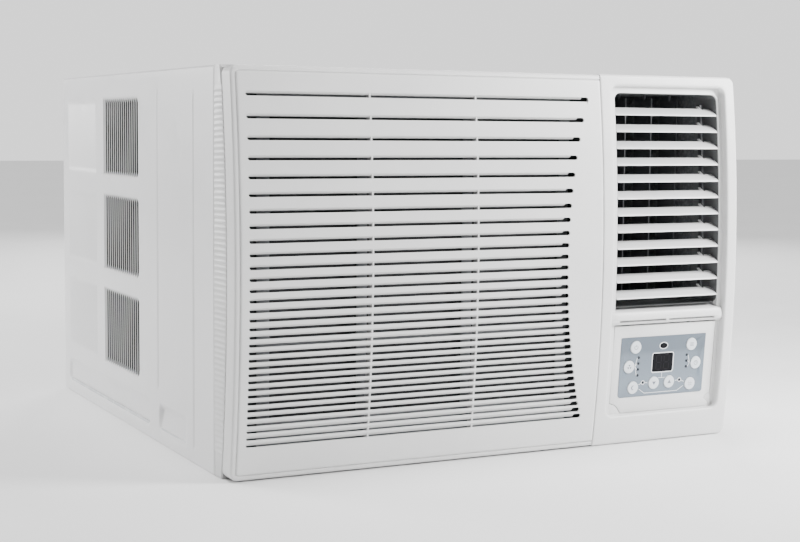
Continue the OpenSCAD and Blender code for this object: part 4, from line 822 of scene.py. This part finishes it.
camber = 0.5 * np.sin(math.pi * np.concatenate([nose[::-1], nose[1:]]))
section_t = vane_thick / 2 * np.concatenate([half_thick[::-1], -half_thick[1:]]) + camber
round_steps = np.radians(np.arange(0, 360, 30))


def rod(x0, x1, r, cy, cz, tilt=0.0, middle=(0, 0)):
    """A round pin along X with a small chamfer at its ends, turned by tilt about the middle."""
    stations = np.array([x0, x0, x0 + 0.2, x1 - 0.2, x1])
    radii = np.array([0.8, 0.8, 1, 1, 0.8]) * r
    y = cy + radii[:, None] * np.cos(round_steps)
    z = cz + radii[:, None] * np.sin(round_steps)
    rings = np.stack([np.repeat(stations[:, None], 12, 1), y, z], -1)[1:]
    return turned(rings, tilt, middle)


def turned(rings, tilt, middle):
    """Turns (x, along, across) points by tilt about X and moves them to the middle (y, z)."""
    c, s = math.cos(tilt), math.sin(tilt)
    y, z = rings[..., 1], rings[..., 2]
    return np.stack([rings[..., 0], middle[0] + c * y - s * z, middle[1] + s * y + c * z], -1)


vane_tilt = math.radians(28)
for k in range(12):
    pivot_z = 395.0 - k * 216.0 / 11
    pivot = (float(face_y(pivot_z)) + 17, pivot_z)
    along = np.repeat(section_c[None, :], len(vane_x), 0)
    notch = ((vane_x > 290) & (vane_x < 293.5))[:, None]
    along = np.where(notch, np.minimum(along, 4.4), along)
    rings = np.stack([np.repeat(vane_x[:, None], len(section_c), 1), along,
                      camber + (section_t - camber) * vane_end[:, None]], -1)
    ear = np.array([[4.0, -0.9], [13.0, -0.9], [14.0, -0.45], [14.3, 0], [14.0, 0.45], [13.0, 0.9],
                    [4.0, 0.9]])
    ear_rings = turned(np.stack([np.column_stack([np.full(7, x), ear]) for x in (288.0, 290.0)]), vane_tilt,
                       pivot)
    shapes = [loft(turned(rings, vane_tilt, pivot)), loft(rod(148.6, 157, 1.5, 0, 0, vane_tilt, pivot)),
              loft(rod(301, 306.4, 1.5, 0, 0, vane_tilt, pivot)), loft(ear_rings),
              loft(rod(288.2, 293, 1.2, 12.5, 0, vane_tilt, pivot))]
    vane = piece(f"air_vane_{k + 1:02d}", shapes, vane_white, f"vane_{k + 1:02d}",
                 [f"vane_{k + 1:02d}"], outward=True)
    finished(vane, angle=34)

# Painted shade: a dark grey sheet set inside the duct stands in for the shade there.
duct_painted_shade = skin("duct_painted_shade", (0.15, 0.152, 0.155), (0.12, 0.122, 0.125), (0.45, 0.6), 700, 0.015, cloud=17)
shade_sheet_loop = round_loop(lip_left + 0.6, outlet_right - 0.7, 164.6, outlet_top - 0.7, 2, 8)
shade_sheet = piece("duct_shade_sheet", [loft([at_setback(shade_sheet_loop, 9.6), at_depth(shade_sheet_loop, y_case - 0.3)],
                                  caps=False, flip=True)],
              duct_painted_shade, "case")
finished(shade_sheet, angle=40)
# Painted shade: the guide blades, link bars and swing dog are painted near-black for the shade inside the
# outlet.
guide_painted_shade = skin("guide_painted_shade", (0.055, 0.057, 0.060), (0.040, 0.042, 0.045), (0.4, 0.55), 900, 0.01,
                  cloud=13)
dress(guide_painted_shade, "vane_link", "guide_blade_1", "guide_blade_2", "guide_blade_3", "guide_blade_4",
      "guide_link", "swing_dog")

# ---- Control panel ----
# A bezel plate with notched lower corners closes the bay. It carries a printed film
# with thin white lines, a smoked window, lamps and eight domed buttons.
panel_lean = math.radians(4.9)
panel_at = (228.0, float(face_y(89.5)) + 9, 89.5)


def on_panel(u, v, w):
    """Points of the panel's own frame, u right, v up and w back, leaned to follow the bow."""
    u, v, w = np.broadcast_arrays(np.asarray(u, float), np.asarray(v, float), np.asarray(w, float))
    c, s = math.cos(panel_lean), math.sin(panel_lean)
    return np.stack([panel_at[0] + u, panel_at[1] + c * w - s * v, panel_at[2] + s * w + c * v], -1)


def disc(u, v, r, steps=28):
    """The outline of a round hole or disc."""
    turn = np.arange(steps) * 2 * math.pi / steps
    return np.stack([u + r * np.cos(turn), v + r * np.sin(turn)], 1)


button_uv = {"power": (-41, 26), "mode": (41, 25.6), "fan": (-49, 2.6), "timer": (49, 2.2),
             "sleep": (-41.5, -23.2),
             "swing": (42.5, -23.4), "down": (-11.3, -19.2), "up": (11.3, -19.2)}
lamp_uv = [(-35.6, 13), (-35.6, 5.8), (-35.6, -1.4), (-35.6, -8.6), (35.6, 12.4), (35.6, 5.2), (35.6, -2),
           (-27, -18), (27, -18)]
button_holes = [disc(u, v, 7.95) for u, v in button_uv.values()]
window_hole = rectangle(-15, 15, -6, 16.8, 2.2)
eye_turn = np.arange(24) * 2 * math.pi / 24
receiver = lambda grow: np.stack([(5.4 + grow) * np.cos(eye_turn), 26 + (3.5 + grow) * np.sin(eye_turn)], 1)
lamp_holes = [disc(u, v, 1.9, 16) for u, v in lamp_uv]
bezel_left, bezel_right, bezel_foot, bezel_head = -72.6, 75.0, -53.8, 52.4
left_notch_uv = [(bezel_left, -40.4), (-64.5, -43.6), (-61.6, -46.0), (-58.2, -51.4), (-55.4, bezel_foot)]
right_notch_uv = [(70.4, bezel_foot), (73.4, -50.6), (72.8, -49.0), (67.2, -44.4), (66.8, -42.4),
                  (68.0, -40.6), (bezel_right, -36.4)]
bezel_outline = np.array([(bezel_left, bezel_head), *left_notch_uv, *right_notch_uv,
                          (bezel_right, bezel_head)])
gap = 0.5
corner_tabs = [slab(np.array([(u - gap, v - gap) for u, v in left_notch_uv]
                             + [(bezel_left - 0.4, bezel_foot - 0.5)]), [], on_panel, 0.4, 3.0),
               slab(np.array([(u + gap, v - gap) for u, v in right_notch_uv]
                             + [(bezel_right + 0.9, bezel_foot - 0.5)]), [], on_panel, 0.4, 3.0)]
tabs = piece("bay_corner_tabs", corner_tabs, front_plastic, "case", outward=True)
finished(tabs, edge=0.3, angle=40)
bezel = piece("control_plate",
              [slab(bezel_outline, button_holes + [window_hole, receiver(0)] + lamp_holes, on_panel, 0, 3.0)],
              front_plastic, "case", ["control_bezel"], outward=True)
finished(bezel, edge=0.3, angle=40)

film_mat, film_tree, film_shader = shader("overlay_film", Roughness=0.3, Coat_Weight=0.25, Coat_Roughness=0.2)
film_place = film_tree.nodes.new("ShaderNodeTexCoord")
film_axes = film_tree.nodes.new("ShaderNodeSeparateXYZ")
film_tree.links.new(film_place.outputs["Object"], film_axes.inputs["Vector"])
film_band = film_tree.nodes.new("ShaderNodeMapRange")
film_band.inputs["From Min"].default_value, film_band.inputs["From Max"].default_value = 0.050, 0.132
film_tree.links.new(film_axes.outputs["Z"], film_band.inputs["Value"])
film_tint = ramp(film_tree, film_band.outputs["Result"],
                 [(0.0, rgb(0.150, 0.190, 0.235)), (0.30, rgb(0.160, 0.200, 0.245)),
                                                         (0.66, rgb(0.125, 0.160, 0.200)),
                  (0.74, rgb(0.085, 0.112, 0.145))])
film_mix = film_tree.nodes.new("ShaderNodeMix")
film_mix.data_type, film_mix.blend_type = "RGBA", "MULTIPLY"
film_mix.inputs["Factor"].default_value = 0.5
film_tree.links.new(film_tint, film_mix.inputs["A"])
film_tree.links.new(ramp(film_tree, noise(film_tree, 900, 2), [(0.35, rgb(0.90)), (0.65, rgb(1.0))]),
                    film_mix.inputs["B"])
film_tree.links.new(film_mix.outputs["Result"], film_shader.inputs["Base Color"])
bump(film_tree, film_shader, noise(film_tree, 2200, 2), 0.006)
film_foot = rectangle(-62, 62, -34.8, 38.2, 3.2, 4)
film_foot = np.concatenate([film_foot[film_foot[:, 1] < 0],
                            [(62, 37.6), (61.4, 38.2), (-61.4, 38.2), (-62, 37.6)]])
film_foot = film_foot[np.argsort(np.arctan2(film_foot[:, 1], film_foot[:, 0]))]
film = piece("printed_film", [slab(film_foot, button_holes + [window_hole, receiver(0)] + lamp_holes,
                                   on_panel, -0.5, 0)], film_mat, "case",
             ["membrane_overlay"], outward=True)
finished(film, edge=0.08, angle=40, segments=1)

print_white = skin("print_white", (0.84, 0.86, 0.88), (0.80, 0.82, 0.85), (0.4, 0.5), 1600, 0.004, cloud=30)


def ribbon(line, width, w0=-0.58, w1=-0.46):
    """A printed line: a thin flat strip of the given width along each straight stretch of (u, v) points."""
    line = np.asarray(line, float)
    run = np.diff(line, axis=0)
    side_step = np.stack([-run[:, 1], run[:, 0]], 1) / np.linalg.norm(run, axis=1)[:, None] * width / 2
    strips = []
    for a, b, n in zip(line[:-1], line[1:], side_step):
        ring = np.array([a + n, b + n, b - n, a - n])
        strips.append(loft(np.stack([on_panel(ring[:, 0], ring[:, 1], w) for w in (w0, w1)])))
    return strips


def ring_print(outer, inner):
    """A printed outline between two closed curves."""
    return slab(outer, [inner], on_panel, -0.58, -0.46)


line_w = 0.6
prints = [ring_print(rectangle(-16.1, 16.1, -7.1, 17.9, 3.2), rectangle(-15.1, 15.1, -6.1, 16.9, 2.2)),
          ring_print(receiver(1.0), receiver(0.15))]
for u, v in lamp_uv[-2:]:
    prints.append(ring_print(disc(u, v, 2.7, 20), disc(u, v, 2.0, 20)))
for hand, fan_from, lights in ((-1, (-40.2, 2.6), lamp_uv[:4]), (1, (40.2, 2.2), lamp_uv[4:7])):
    for u, v in lights:
        prints += ribbon([fan_from, (u + hand * 1.9, v)], line_w)
prints += ribbon([(-32.2, -25.6), (-24, -31.2), (24, -31.2), (33.2, -25.8)], line_w)
prints += ribbon([(-33, -20.4), (-29.3, -18.6)], line_w) + ribbon([(33.9, -20.6), (29.3, -18.6)], line_w)
prints += ribbon([(0, -7.1), (0, -13.5)], line_w) + ribbon([(-5, -13.5), (5, -13.5)], line_w)
prints += ribbon([(-24.7, -18), (-20.6, -18.6)], line_w) + ribbon([(24.7, -18), (20.6, -18.6)], line_w)
printed = piece("printed_lines", prints, print_white, "case", outward=True)
finished(printed, angle=30)

smoked = skin("smoked_window", (0.006, 0.006, 0.008), (0.004, 0.004, 0.005), (0.45, 0.6), 500, 0.001,
              cloud=25,
              Specular_IOR_Level=0.08)
segment_grey = skin("unlit_segments", (0.014, 0.014, 0.016), (0.010, 0.010, 0.012), (0.5, 0.65), 900, 0.003,
                    cloud=40, Specular_IOR_Level=0.1)
window = piece("display_window", [slab(rectangle(-14.8, 14.8, -5.8, 16.6, 2.0), [], on_panel, -0.35, 10.9)],
               smoked, "case",
               ["display_module"], outward=True)
finished(window, edge=0.25, angle=40)
segments = []
for cu in (-5.6, 5.6):
    segments += [(cu - 2.6, cu + 2.6, low, high) for low, high in ((-3.6, -2.7), (14.1, 15.0), (5.0, 5.9))]
    segments += [(cu + s * 3.6 - 0.45, cu + s * 3.6 + 0.45, low, high) for s in (-1, 1) for low,
                 high in ((-2.6, 4.6), (6.3, 13.2))]
digits = piece("display_segments", [slab(rectangle(a, b, c, d, 0.3, 3), [], on_panel, -0.39, -0.33) for a, b,
                                    c, d in segments],
               segment_grey, "case", outward=True)
finished(digits, angle=30)
receiver_piece = piece("receiver_window", [slab(receiver(-0.2), [], on_panel, -0.35, 10.9)], smoked, "case",
                       ["ir_receiver"], outward=True)
finished(receiver_piece, edge=0.3, angle=40)

lens_mat = skin("lamp_lens", (0.030, 0.034, 0.042), (0.018, 0.020, 0.026), (0.2, 0.3), 700, 0.003, cloud=60,
                Specular_IOR_Level=0.3)
dome = np.radians(np.linspace(0, 84, 6))


def domed(u, v, r, base_w, rise_mm, edge_mm, back_w, steps=28):
    """A round cap seen from above as rings: straight sides from the back, a rolled edge, and a
    shallow dome (or a dish where rise_mm is negative) to the middle."""
    turn = np.arange(steps) * 2 * math.pi / steps
    roll_r = r - edge_mm * (1 - np.cos(dome))
    roll_w = base_w - edge_mm * np.sin(dome)
    inner_r = (r - edge_mm) * np.array([0.85, 0.65, 0.45, 0.25, 0.08])
    inner_w = roll_w[-1] - rise_mm * (1 - (inner_r / (r - edge_mm)) ** 2)
    radii = np.concatenate([[r], roll_r, inner_r])
    depths = np.concatenate([[back_w], roll_w, inner_w])
    return loft(on_panel(u + radii[:, None] * np.cos(turn), v + radii[:, None] * np.sin(turn),
                         np.repeat(depths[:, None], steps, 1)))


lenses = piece("lamp_lenses", [domed(u, v, 1.78, -0.45, 0.12, 0.2, 10.9, steps=14) for u, v in lamp_uv],
               lens_mat, "case",
               ["indicator_leds"], outward=True)
finished(lenses, angle=50)

button_mat = skin("button_plastic", (0.70, 0.74, 0.78), (0.67, 0.71, 0.75), (0.3, 0.4), 1800, 0.006, cloud=35)
icon_ink = skin("icon_ink", (0.16, 0.18, 0.22), (0.12, 0.14, 0.18), (0.4, 0.5), 1500, 0.003, cloud=50)
triangle = np.array([(-2.6, -1.7), (2.6, -1.7), (0, 2.6)])


def icon_shapes(kind, u, v):
    """Plain signs printed on a button: a broken ring with a bar, arrows, blades, a clock, a moon or waves."""
    bar = lambda a0, a1, b0, b1: (rectangle(u + a0, u + a1, v + b0, v + b1), [])
    ring = lambda r, t: (disc(u, v, r, 24), [disc(u, v, r - t, 24)])
    if kind == "up":
        return [(triangle + (u, v), [])]
    if kind == "down":
        return [(triangle[::-1] * (1, -1) + (u, v), [])]
    if kind == "power":
        gap = np.radians(np.linspace(125, 415, 20))
        arc = np.concatenate([2.7 * np.stack([np.cos(gap), np.sin(gap)], 1),
                              2.1 * np.stack([np.cos(gap), np.sin(gap)], 1)[::-1]])
        return [(arc + (u, v), []), bar(-0.3, 0.3, 0.4, 3.0)]
    if kind == "timer":
        return [ring(2.8, 0.55), bar(-0.25, 0.25, 0, 1.9), bar(0.25, 1.5, 0, 0.5)]
    if kind == "fan":
        blades = []
        for q in (90, 210, 330):
            a = np.radians(np.array([-34, -12, 12, 34]) + q)
            blades.append((np.concatenate([[[u + 0.5 * math.cos(math.radians(q)),
                                             v + 0.5 * math.sin(math.radians(q))]],
                                           np.stack([u + 2.8 * np.cos(a), v + 2.8 * np.sin(a)], 1)]), []))
        return blades
    if kind == "sleep":
        a, b = np.radians(np.linspace(60, 300, 16)), np.radians(np.linspace(286, 74, 14))
        return [(np.concatenate([np.stack([u + 2.8 * np.cos(a), v + 2.8 * np.sin(a)], 1),
                                 np.stack([u + 1.1 + 2.35 * np.cos(b), v + 2.35 * np.sin(b)], 1)]), [])]
    if kind == "mode":
        return [bar(-2.6, 2.6, 1.3, 1.9), bar(-2.6, 2.6, -0.3, 0.3), bar(-2.6, 2.6, -1.9, -1.3)]
    wave_u = np.linspace(-2.8, 2.8, 15)
    wave_v = 0.8 * np.sin(wave_u * 2.2)
    return [(np.concatenate([np.stack([u + wave_u, v + dv + wave_v + 0.25], 1),
                             np.stack([u + wave_u, v + dv + wave_v - 0.25], 1)[::-1]]), [])
            for dv in (-1.4, 1.0)]


for name, (u, v) in button_uv.items():
    cap = piece(f"button_{name}_cap",
                [domed(u, v, 7.6, -0.9, 0.25, 0.55, 4.2), domed(u, v, 8.6, 4.4, 0, 0.15, 5.2),
                                       domed(u, v, 2.0, 4.8, 0.0, 0.1, 9.8, steps=16)], button_mat,
                f"button_{name}",
                [f"button_{name}"], outward=True)
    finished(cap, angle=50)
    signs = [slab(outline, holes, on_panel, -1.76, -1.55) for outline, holes in icon_shapes(name, u, v)]
    sign = piece(f"button_{name}_sign", signs, icon_ink, f"button_{name}", outward=True)
    finished(sign, angle=40)

# ---- Control board and swing motor ----
# A glass-fibre board with a green solder mask behind the bezel, and a small plated
# motor below the duct that swings the guide blades.
board_mat, board_tree, board_shader = shader("board_mask", Roughness=0.35)
traces = board_tree.nodes.new("ShaderNodeTexVoronoi")
traces.distance, traces.inputs["Scale"].default_value = "MANHATTAN", 160
board_place = board_tree.nodes.new("ShaderNodeTexCoord")
board_tree.links.new(board_place.outputs["Object"], traces.inputs["Vector"])
board_tree.links.new(ramp(board_tree, traces.outputs["Distance"],
                          [(0.2, rgb(0.02, 0.16, 0.06)), (0.55, rgb(0.012, 0.09, 0.035))]),
                     board_shader.inputs["Base Color"])
bump(board_tree, board_shader, traces.outputs["Distance"], 0.03)
dress(board_mat, "control_board")


def galvanised_sheet(name, colour, shade, gloss, spangle=55, relief_mm=0.01):
    """Zinc-coated steel: angular spangle cells that differ in tone and gloss, with a faint grain."""
    mat, tree, principled = shader(name, Metallic=0.85)
    cells = tree.nodes.new("ShaderNodeTexVoronoi")
    cells.inputs["Scale"].default_value = spangle
    place = tree.nodes.new("ShaderNodeTexCoord")
    tree.links.new(place.outputs["Object"], cells.inputs["Vector"])
    tone = tree.nodes.new("ShaderNodeSeparateColor")
    tree.links.new(cells.outputs["Color"], tone.inputs["Color"])
    tree.links.new(ramp(tree, tone.outputs["Red"], [(0.0, rgb(*shade)), (1.0, rgb(*colour))]),
                   principled.inputs["Base Color"])
    gloss_span = tree.nodes.new("ShaderNodeMapRange")
    gloss_span.inputs["To Min"].default_value, gloss_span.inputs["To Max"].default_value = gloss
    tree.links.new(tone.outputs["Green"], gloss_span.inputs["Value"])
    tree.links.new(gloss_span.outputs["Result"], principled.inputs["Roughness"])
    bump(tree, principled, noise(tree, 600, 3, 0.6), relief_mm)
    return mat


zinc = galvanised_sheet("galvanised_sheet", (0.66, 0.67, 0.68), (0.50, 0.51, 0.53), (0.32, 0.52))
dress(zinc, "swing_motor", "motor_bracket", "electrical_box", "base_pan")

# ---- Rear guard ----
# A stamped steel grille closes the back of the case behind the condenser. Its slots
# have rolled edges, and six pan-head screws with cross recesses hold it.
guard_y0, guard_y1 = 332.5, 333.9
guard_cols, guard_rows, guard_rim = 26, 3, 24
slot_w, slot_h = (2 * (half_w - guard_rim)) / guard_cols, (case_top - 2 * guard_rim) / guard_rows
guard_holes = [rectangle(-half_w + guard_rim + i * slot_w + 3.4, -half_w + guard_rim + (i + 1) * slot_w - 3.4,
                         guard_rim + j * slot_h + 9, guard_rim + (j + 1) * slot_h - 9, 6, 4)
               for i in range(guard_cols) for j in range(guard_rows)]
guard = piece("stamped_rear_guard", [slab(rectangle(-half_w + 1.2, half_w - 1.2, 1.2, 435.8, 4), guard_holes,
                                          upright, guard_y0, guard_y1)],
              case_enamel, "case", ["rear_guard"], outward=True)
finished(guard, edge=0.5, angle=40)
screw_steel = drawn_steel("screw_steel", (0.68, 0.68, 0.67), (0.52, 0.52, 0.53), (0.25, 0.4), (1, 1, 1), 0.01)
screws = []
cross = np.array([(0.45, 0.45), (2.1, 0.45), (2.1, -0.45), (0.45, -0.45), (0.45, -2.1), (-0.45, -2.1),
                  (-0.45, -0.45), (-2.1, -0.45),
                  (-2.1, 0.45), (-0.45, 0.45), (-0.45, 2.1), (0.45, 2.1)])


def head_ring(x, z, r, y):
    """A ring of a screw head: a circle of radius r about (x, z) at depth y."""
    turn = np.arange(24) * 2 * math.pi / 24
    return np.stack([x + r * np.cos(turn), np.full(24, y), z + r * np.sin(turn)], 1)


for sx in (-313, 313):
    for z in (14, 218.5, 423):
        profile = [(4.0, guard_y1), (4.0, guard_y1 + 0.5), (3.6, guard_y1 + 1.2), (2.8, guard_y1 + 1.7),
                   (2.3, guard_y1 + 1.85)]
        screws.append(loft([head_ring(sx, z, r, y) for r, y in profile], caps=False))
        screws.append(slab(disc(sx, z, 2.3, 24), [cross + (sx, z)], upright, guard_y1 + 0.3, guard_y1 + 1.85))
        screws.append(loft([head_ring(sx, z, r, guard_y1 + 0.3) for r in (4.0, 0.5)], caps=False))
screw_set = piece("guard_screw_heads", screws, screw_steel, "case", ["guard_screws"], outward=True)
finished(screw_set, angle=35)

# ---- Coils ----
# The evaporator and the condenser are packs of thin aluminium fins pressed on
# copper tubes, between galvanised end plates, with hairpin bends at both ends.


def fin_pack(x0, x1, y0, y1, z0, z1, pitch, ripple):
    """Fins as one folded sheet: the depth of both faces zigzags along X, and the pack is closed."""
    count = int((x1 - x0) / pitch) * 2
    x = np.linspace(x0, x1, count + 1)
    fold = ripple * (np.arange(count + 1) % 2)
    corners = ((y0 + fold, z0), (y0 + fold, z1), (y1 - fold, z1), (y1 - fold, z0))
    return loft(np.stack([np.stack(np.broadcast_arrays(x, y, z), 1) for y, z in corners], 1))


def hairpins(x_face, hand, y, z_list, reach, r):
    """Half rings of tube that join neighbouring tubes outside the end plate: a circle carried
    round half a turn in the plane of X and Z, pushed out flat by the reach."""
    turn = np.radians(np.linspace(0, 180, 9))
    around = np.arange(10) * 2 * math.pi / 10
    shapes = []
    for z0, z1 in zip(z_list[:-1:2], z_list[1::2]):
        half, mid = (z1 - z0) / 2, (z0 + z1) / 2
        out = x_face + hand * reach * np.sin(turn)
        height = mid - half * np.cos(turn)
        across = np.stack([np.sin(turn), -np.cos(turn)], 1)
        rings = [np.stack([out[k] + hand * r * np.cos(around) * across[k, 0], y + r * np.sin(around),
                           height[k] + r * np.cos(around) * across[k, 1]], 1) for k in range(9)]
        shapes.append(loft(np.stack(rings)))
    return shapes


def across_x(a, b, depth):
    """Places a plate square to X: a is Y, b is Z and the depth is X."""
    return np.stack([depth, a, b], 1)


def fin_stock(name, colour, shade):
    """Rolled aluminium fin stock: bright streaks along Z with soft dull patches."""
    mat, tree, principled = shader(name, Metallic=0.9)
    streaks = noise(tree, 420, 3, 0.6, stretch=(1, 1, 0.05))
    tree.links.new(ramp(tree, streaks, [(0.3, rgb(*shade)), (0.7, rgb(*colour))]),
                   principled.inputs["Base Color"])
    tree.links.new(between(tree, noise(tree, 18, 4), 0.34, 0.55), principled.inputs["Roughness"])
    bump(tree, principled, noise(tree, 260, 3, 0.6, stretch=(0.2, 1, 1)), 0.05)
    return mat


fin_mat = fin_stock("fin_stock", (0.62, 0.64, 0.66), (0.46, 0.48, 0.50))
copper = drawn_steel("drawn_copper", (0.62, 0.30, 0.16), (0.44, 0.19, 0.10), (0.25, 0.45), (1, 1, 0.15), 0.01)
tube_r, bend_reach = 3.4, 4.9
for name, node, (x0, x1, y0, y1, z0, z1), rows, pitch in (
        ("evaporator", "evaporator_coil", (-305, 114, -268.5, -226.5, 40, 420), 14, 1.9),
        ("condenser", "condenser_coil", (-307, 295, 268.5, 312.5, 5.2, 422), 15, 2.1)):
    fins = piece(f"{name}_fins", [fin_pack(x0 + 12.8, x1 - 12.8, y0, y1, z0, z1, pitch, 2.6)], fin_mat,
                 "case", [node], outward=True)
    finished(fins, angle=20)
    plates = [slab(rectangle(y0 - 0.5, y1 + 0.5, z0 - 2, z1 + 2, 2, 4), [], across_x, x - 0.75, x + 0.75)
              for x in (x0 + 12, x1 - 12)]
    ends = piece(f"{name}_end_plates", plates, zinc, "case", outward=True)
    finished(ends, edge=0.2, angle=40, segments=1)
    step = (z1 - z0) / rows
    tube_z = z0 + step * (np.arange(rows) + 0.5)
    bends = []
    for row_y, first in (((y0 + y1) / 2 - 9, 0), ((y0 + y1) / 2 + 9, 1)):
        bends += hairpins(x0 + 11, -1, row_y, tube_z[first:], bend_reach, tube_r)
        bends += hairpins(x1 - 11, 1, row_y, tube_z[1 - first:], bend_reach, tube_r)
    tubes = piece(f"{name}_hairpins", bends, copper, "case", outward=True)
    finished(tubes, angle=50)

# ---- Air moving parts ----
# The scroll is moulded bead foam, the wheel and the fan are black moulded plastic
# on a turned steel shaft, and the motor has a black enamelled shell.


def bead_foam(name, colour, shade):
    """Moulded expanded beads: rounded cells with fine dark seams between them."""
    mat, tree, principled = shader(name)
    beads = tree.nodes.new("ShaderNodeTexVoronoi")
    beads.inputs["Scale"].default_value = 260
    place = tree.nodes.new("ShaderNodeTexCoord")
    tree.links.new(place.outputs["Object"], beads.inputs["Vector"])
    tree.links.new(ramp(tree, beads.outputs["Distance"], [(0.15, rgb(*colour)), (0.75, rgb(*shade))]),
                   principled.inputs["Base Color"])
    tree.links.new(between(tree, noise(tree, 60, 4), 0.7, 0.85), principled.inputs["Roughness"])
    bump(tree, principled, beads.outputs["Distance"], -0.25)
    return mat


# Painted shade: the scroll's dark grey tone stands in for the shade inside the case.
dress(bead_foam("bead_foam", (0.16, 0.165, 0.17), (0.10, 0.105, 0.11)), "blower_scroll")
dress(skin("fan_black", (0.035, 0.037, 0.040), (0.022, 0.023, 0.025), (0.35, 0.5), 1400, 0.012, cloud=14),
      "blower_wheel", "condenser_fan")
black_enamel = skin("black_enamel", (0.022, 0.022, 0.024), (0.014, 0.014, 0.015), (0.18, 0.32), 300, 0.03,
                    cloud=12, Coat_Weight=0.3,
                    Coat_Roughness=0.15)
dress(black_enamel, "fan_motor", "compressor", "accumulator")
dress(drawn_steel("shaft_steel", (0.60, 0.60, 0.61), (0.46, 0.46, 0.48), (0.18, 0.32), (1, 0.04, 1), 0.005),
      "motor_shaft")
dress(zinc, "condenser_shroud")

# ---- Cooling circuit and supply entry ----
# Drawn copper pipes join the compressor and the coils. The compressor stands on
# black rubber mounts, and the supply cord enters through a black moulded gland.
dress(copper, "refrigerant_pipes")
rubber = skin("black_rubber", (0.030, 0.030, 0.030), (0.018, 0.018, 0.018), (0.6, 0.8), 700, 0.03, cloud=30)
dress(rubber, "compressor_mounts", "cord_gland")
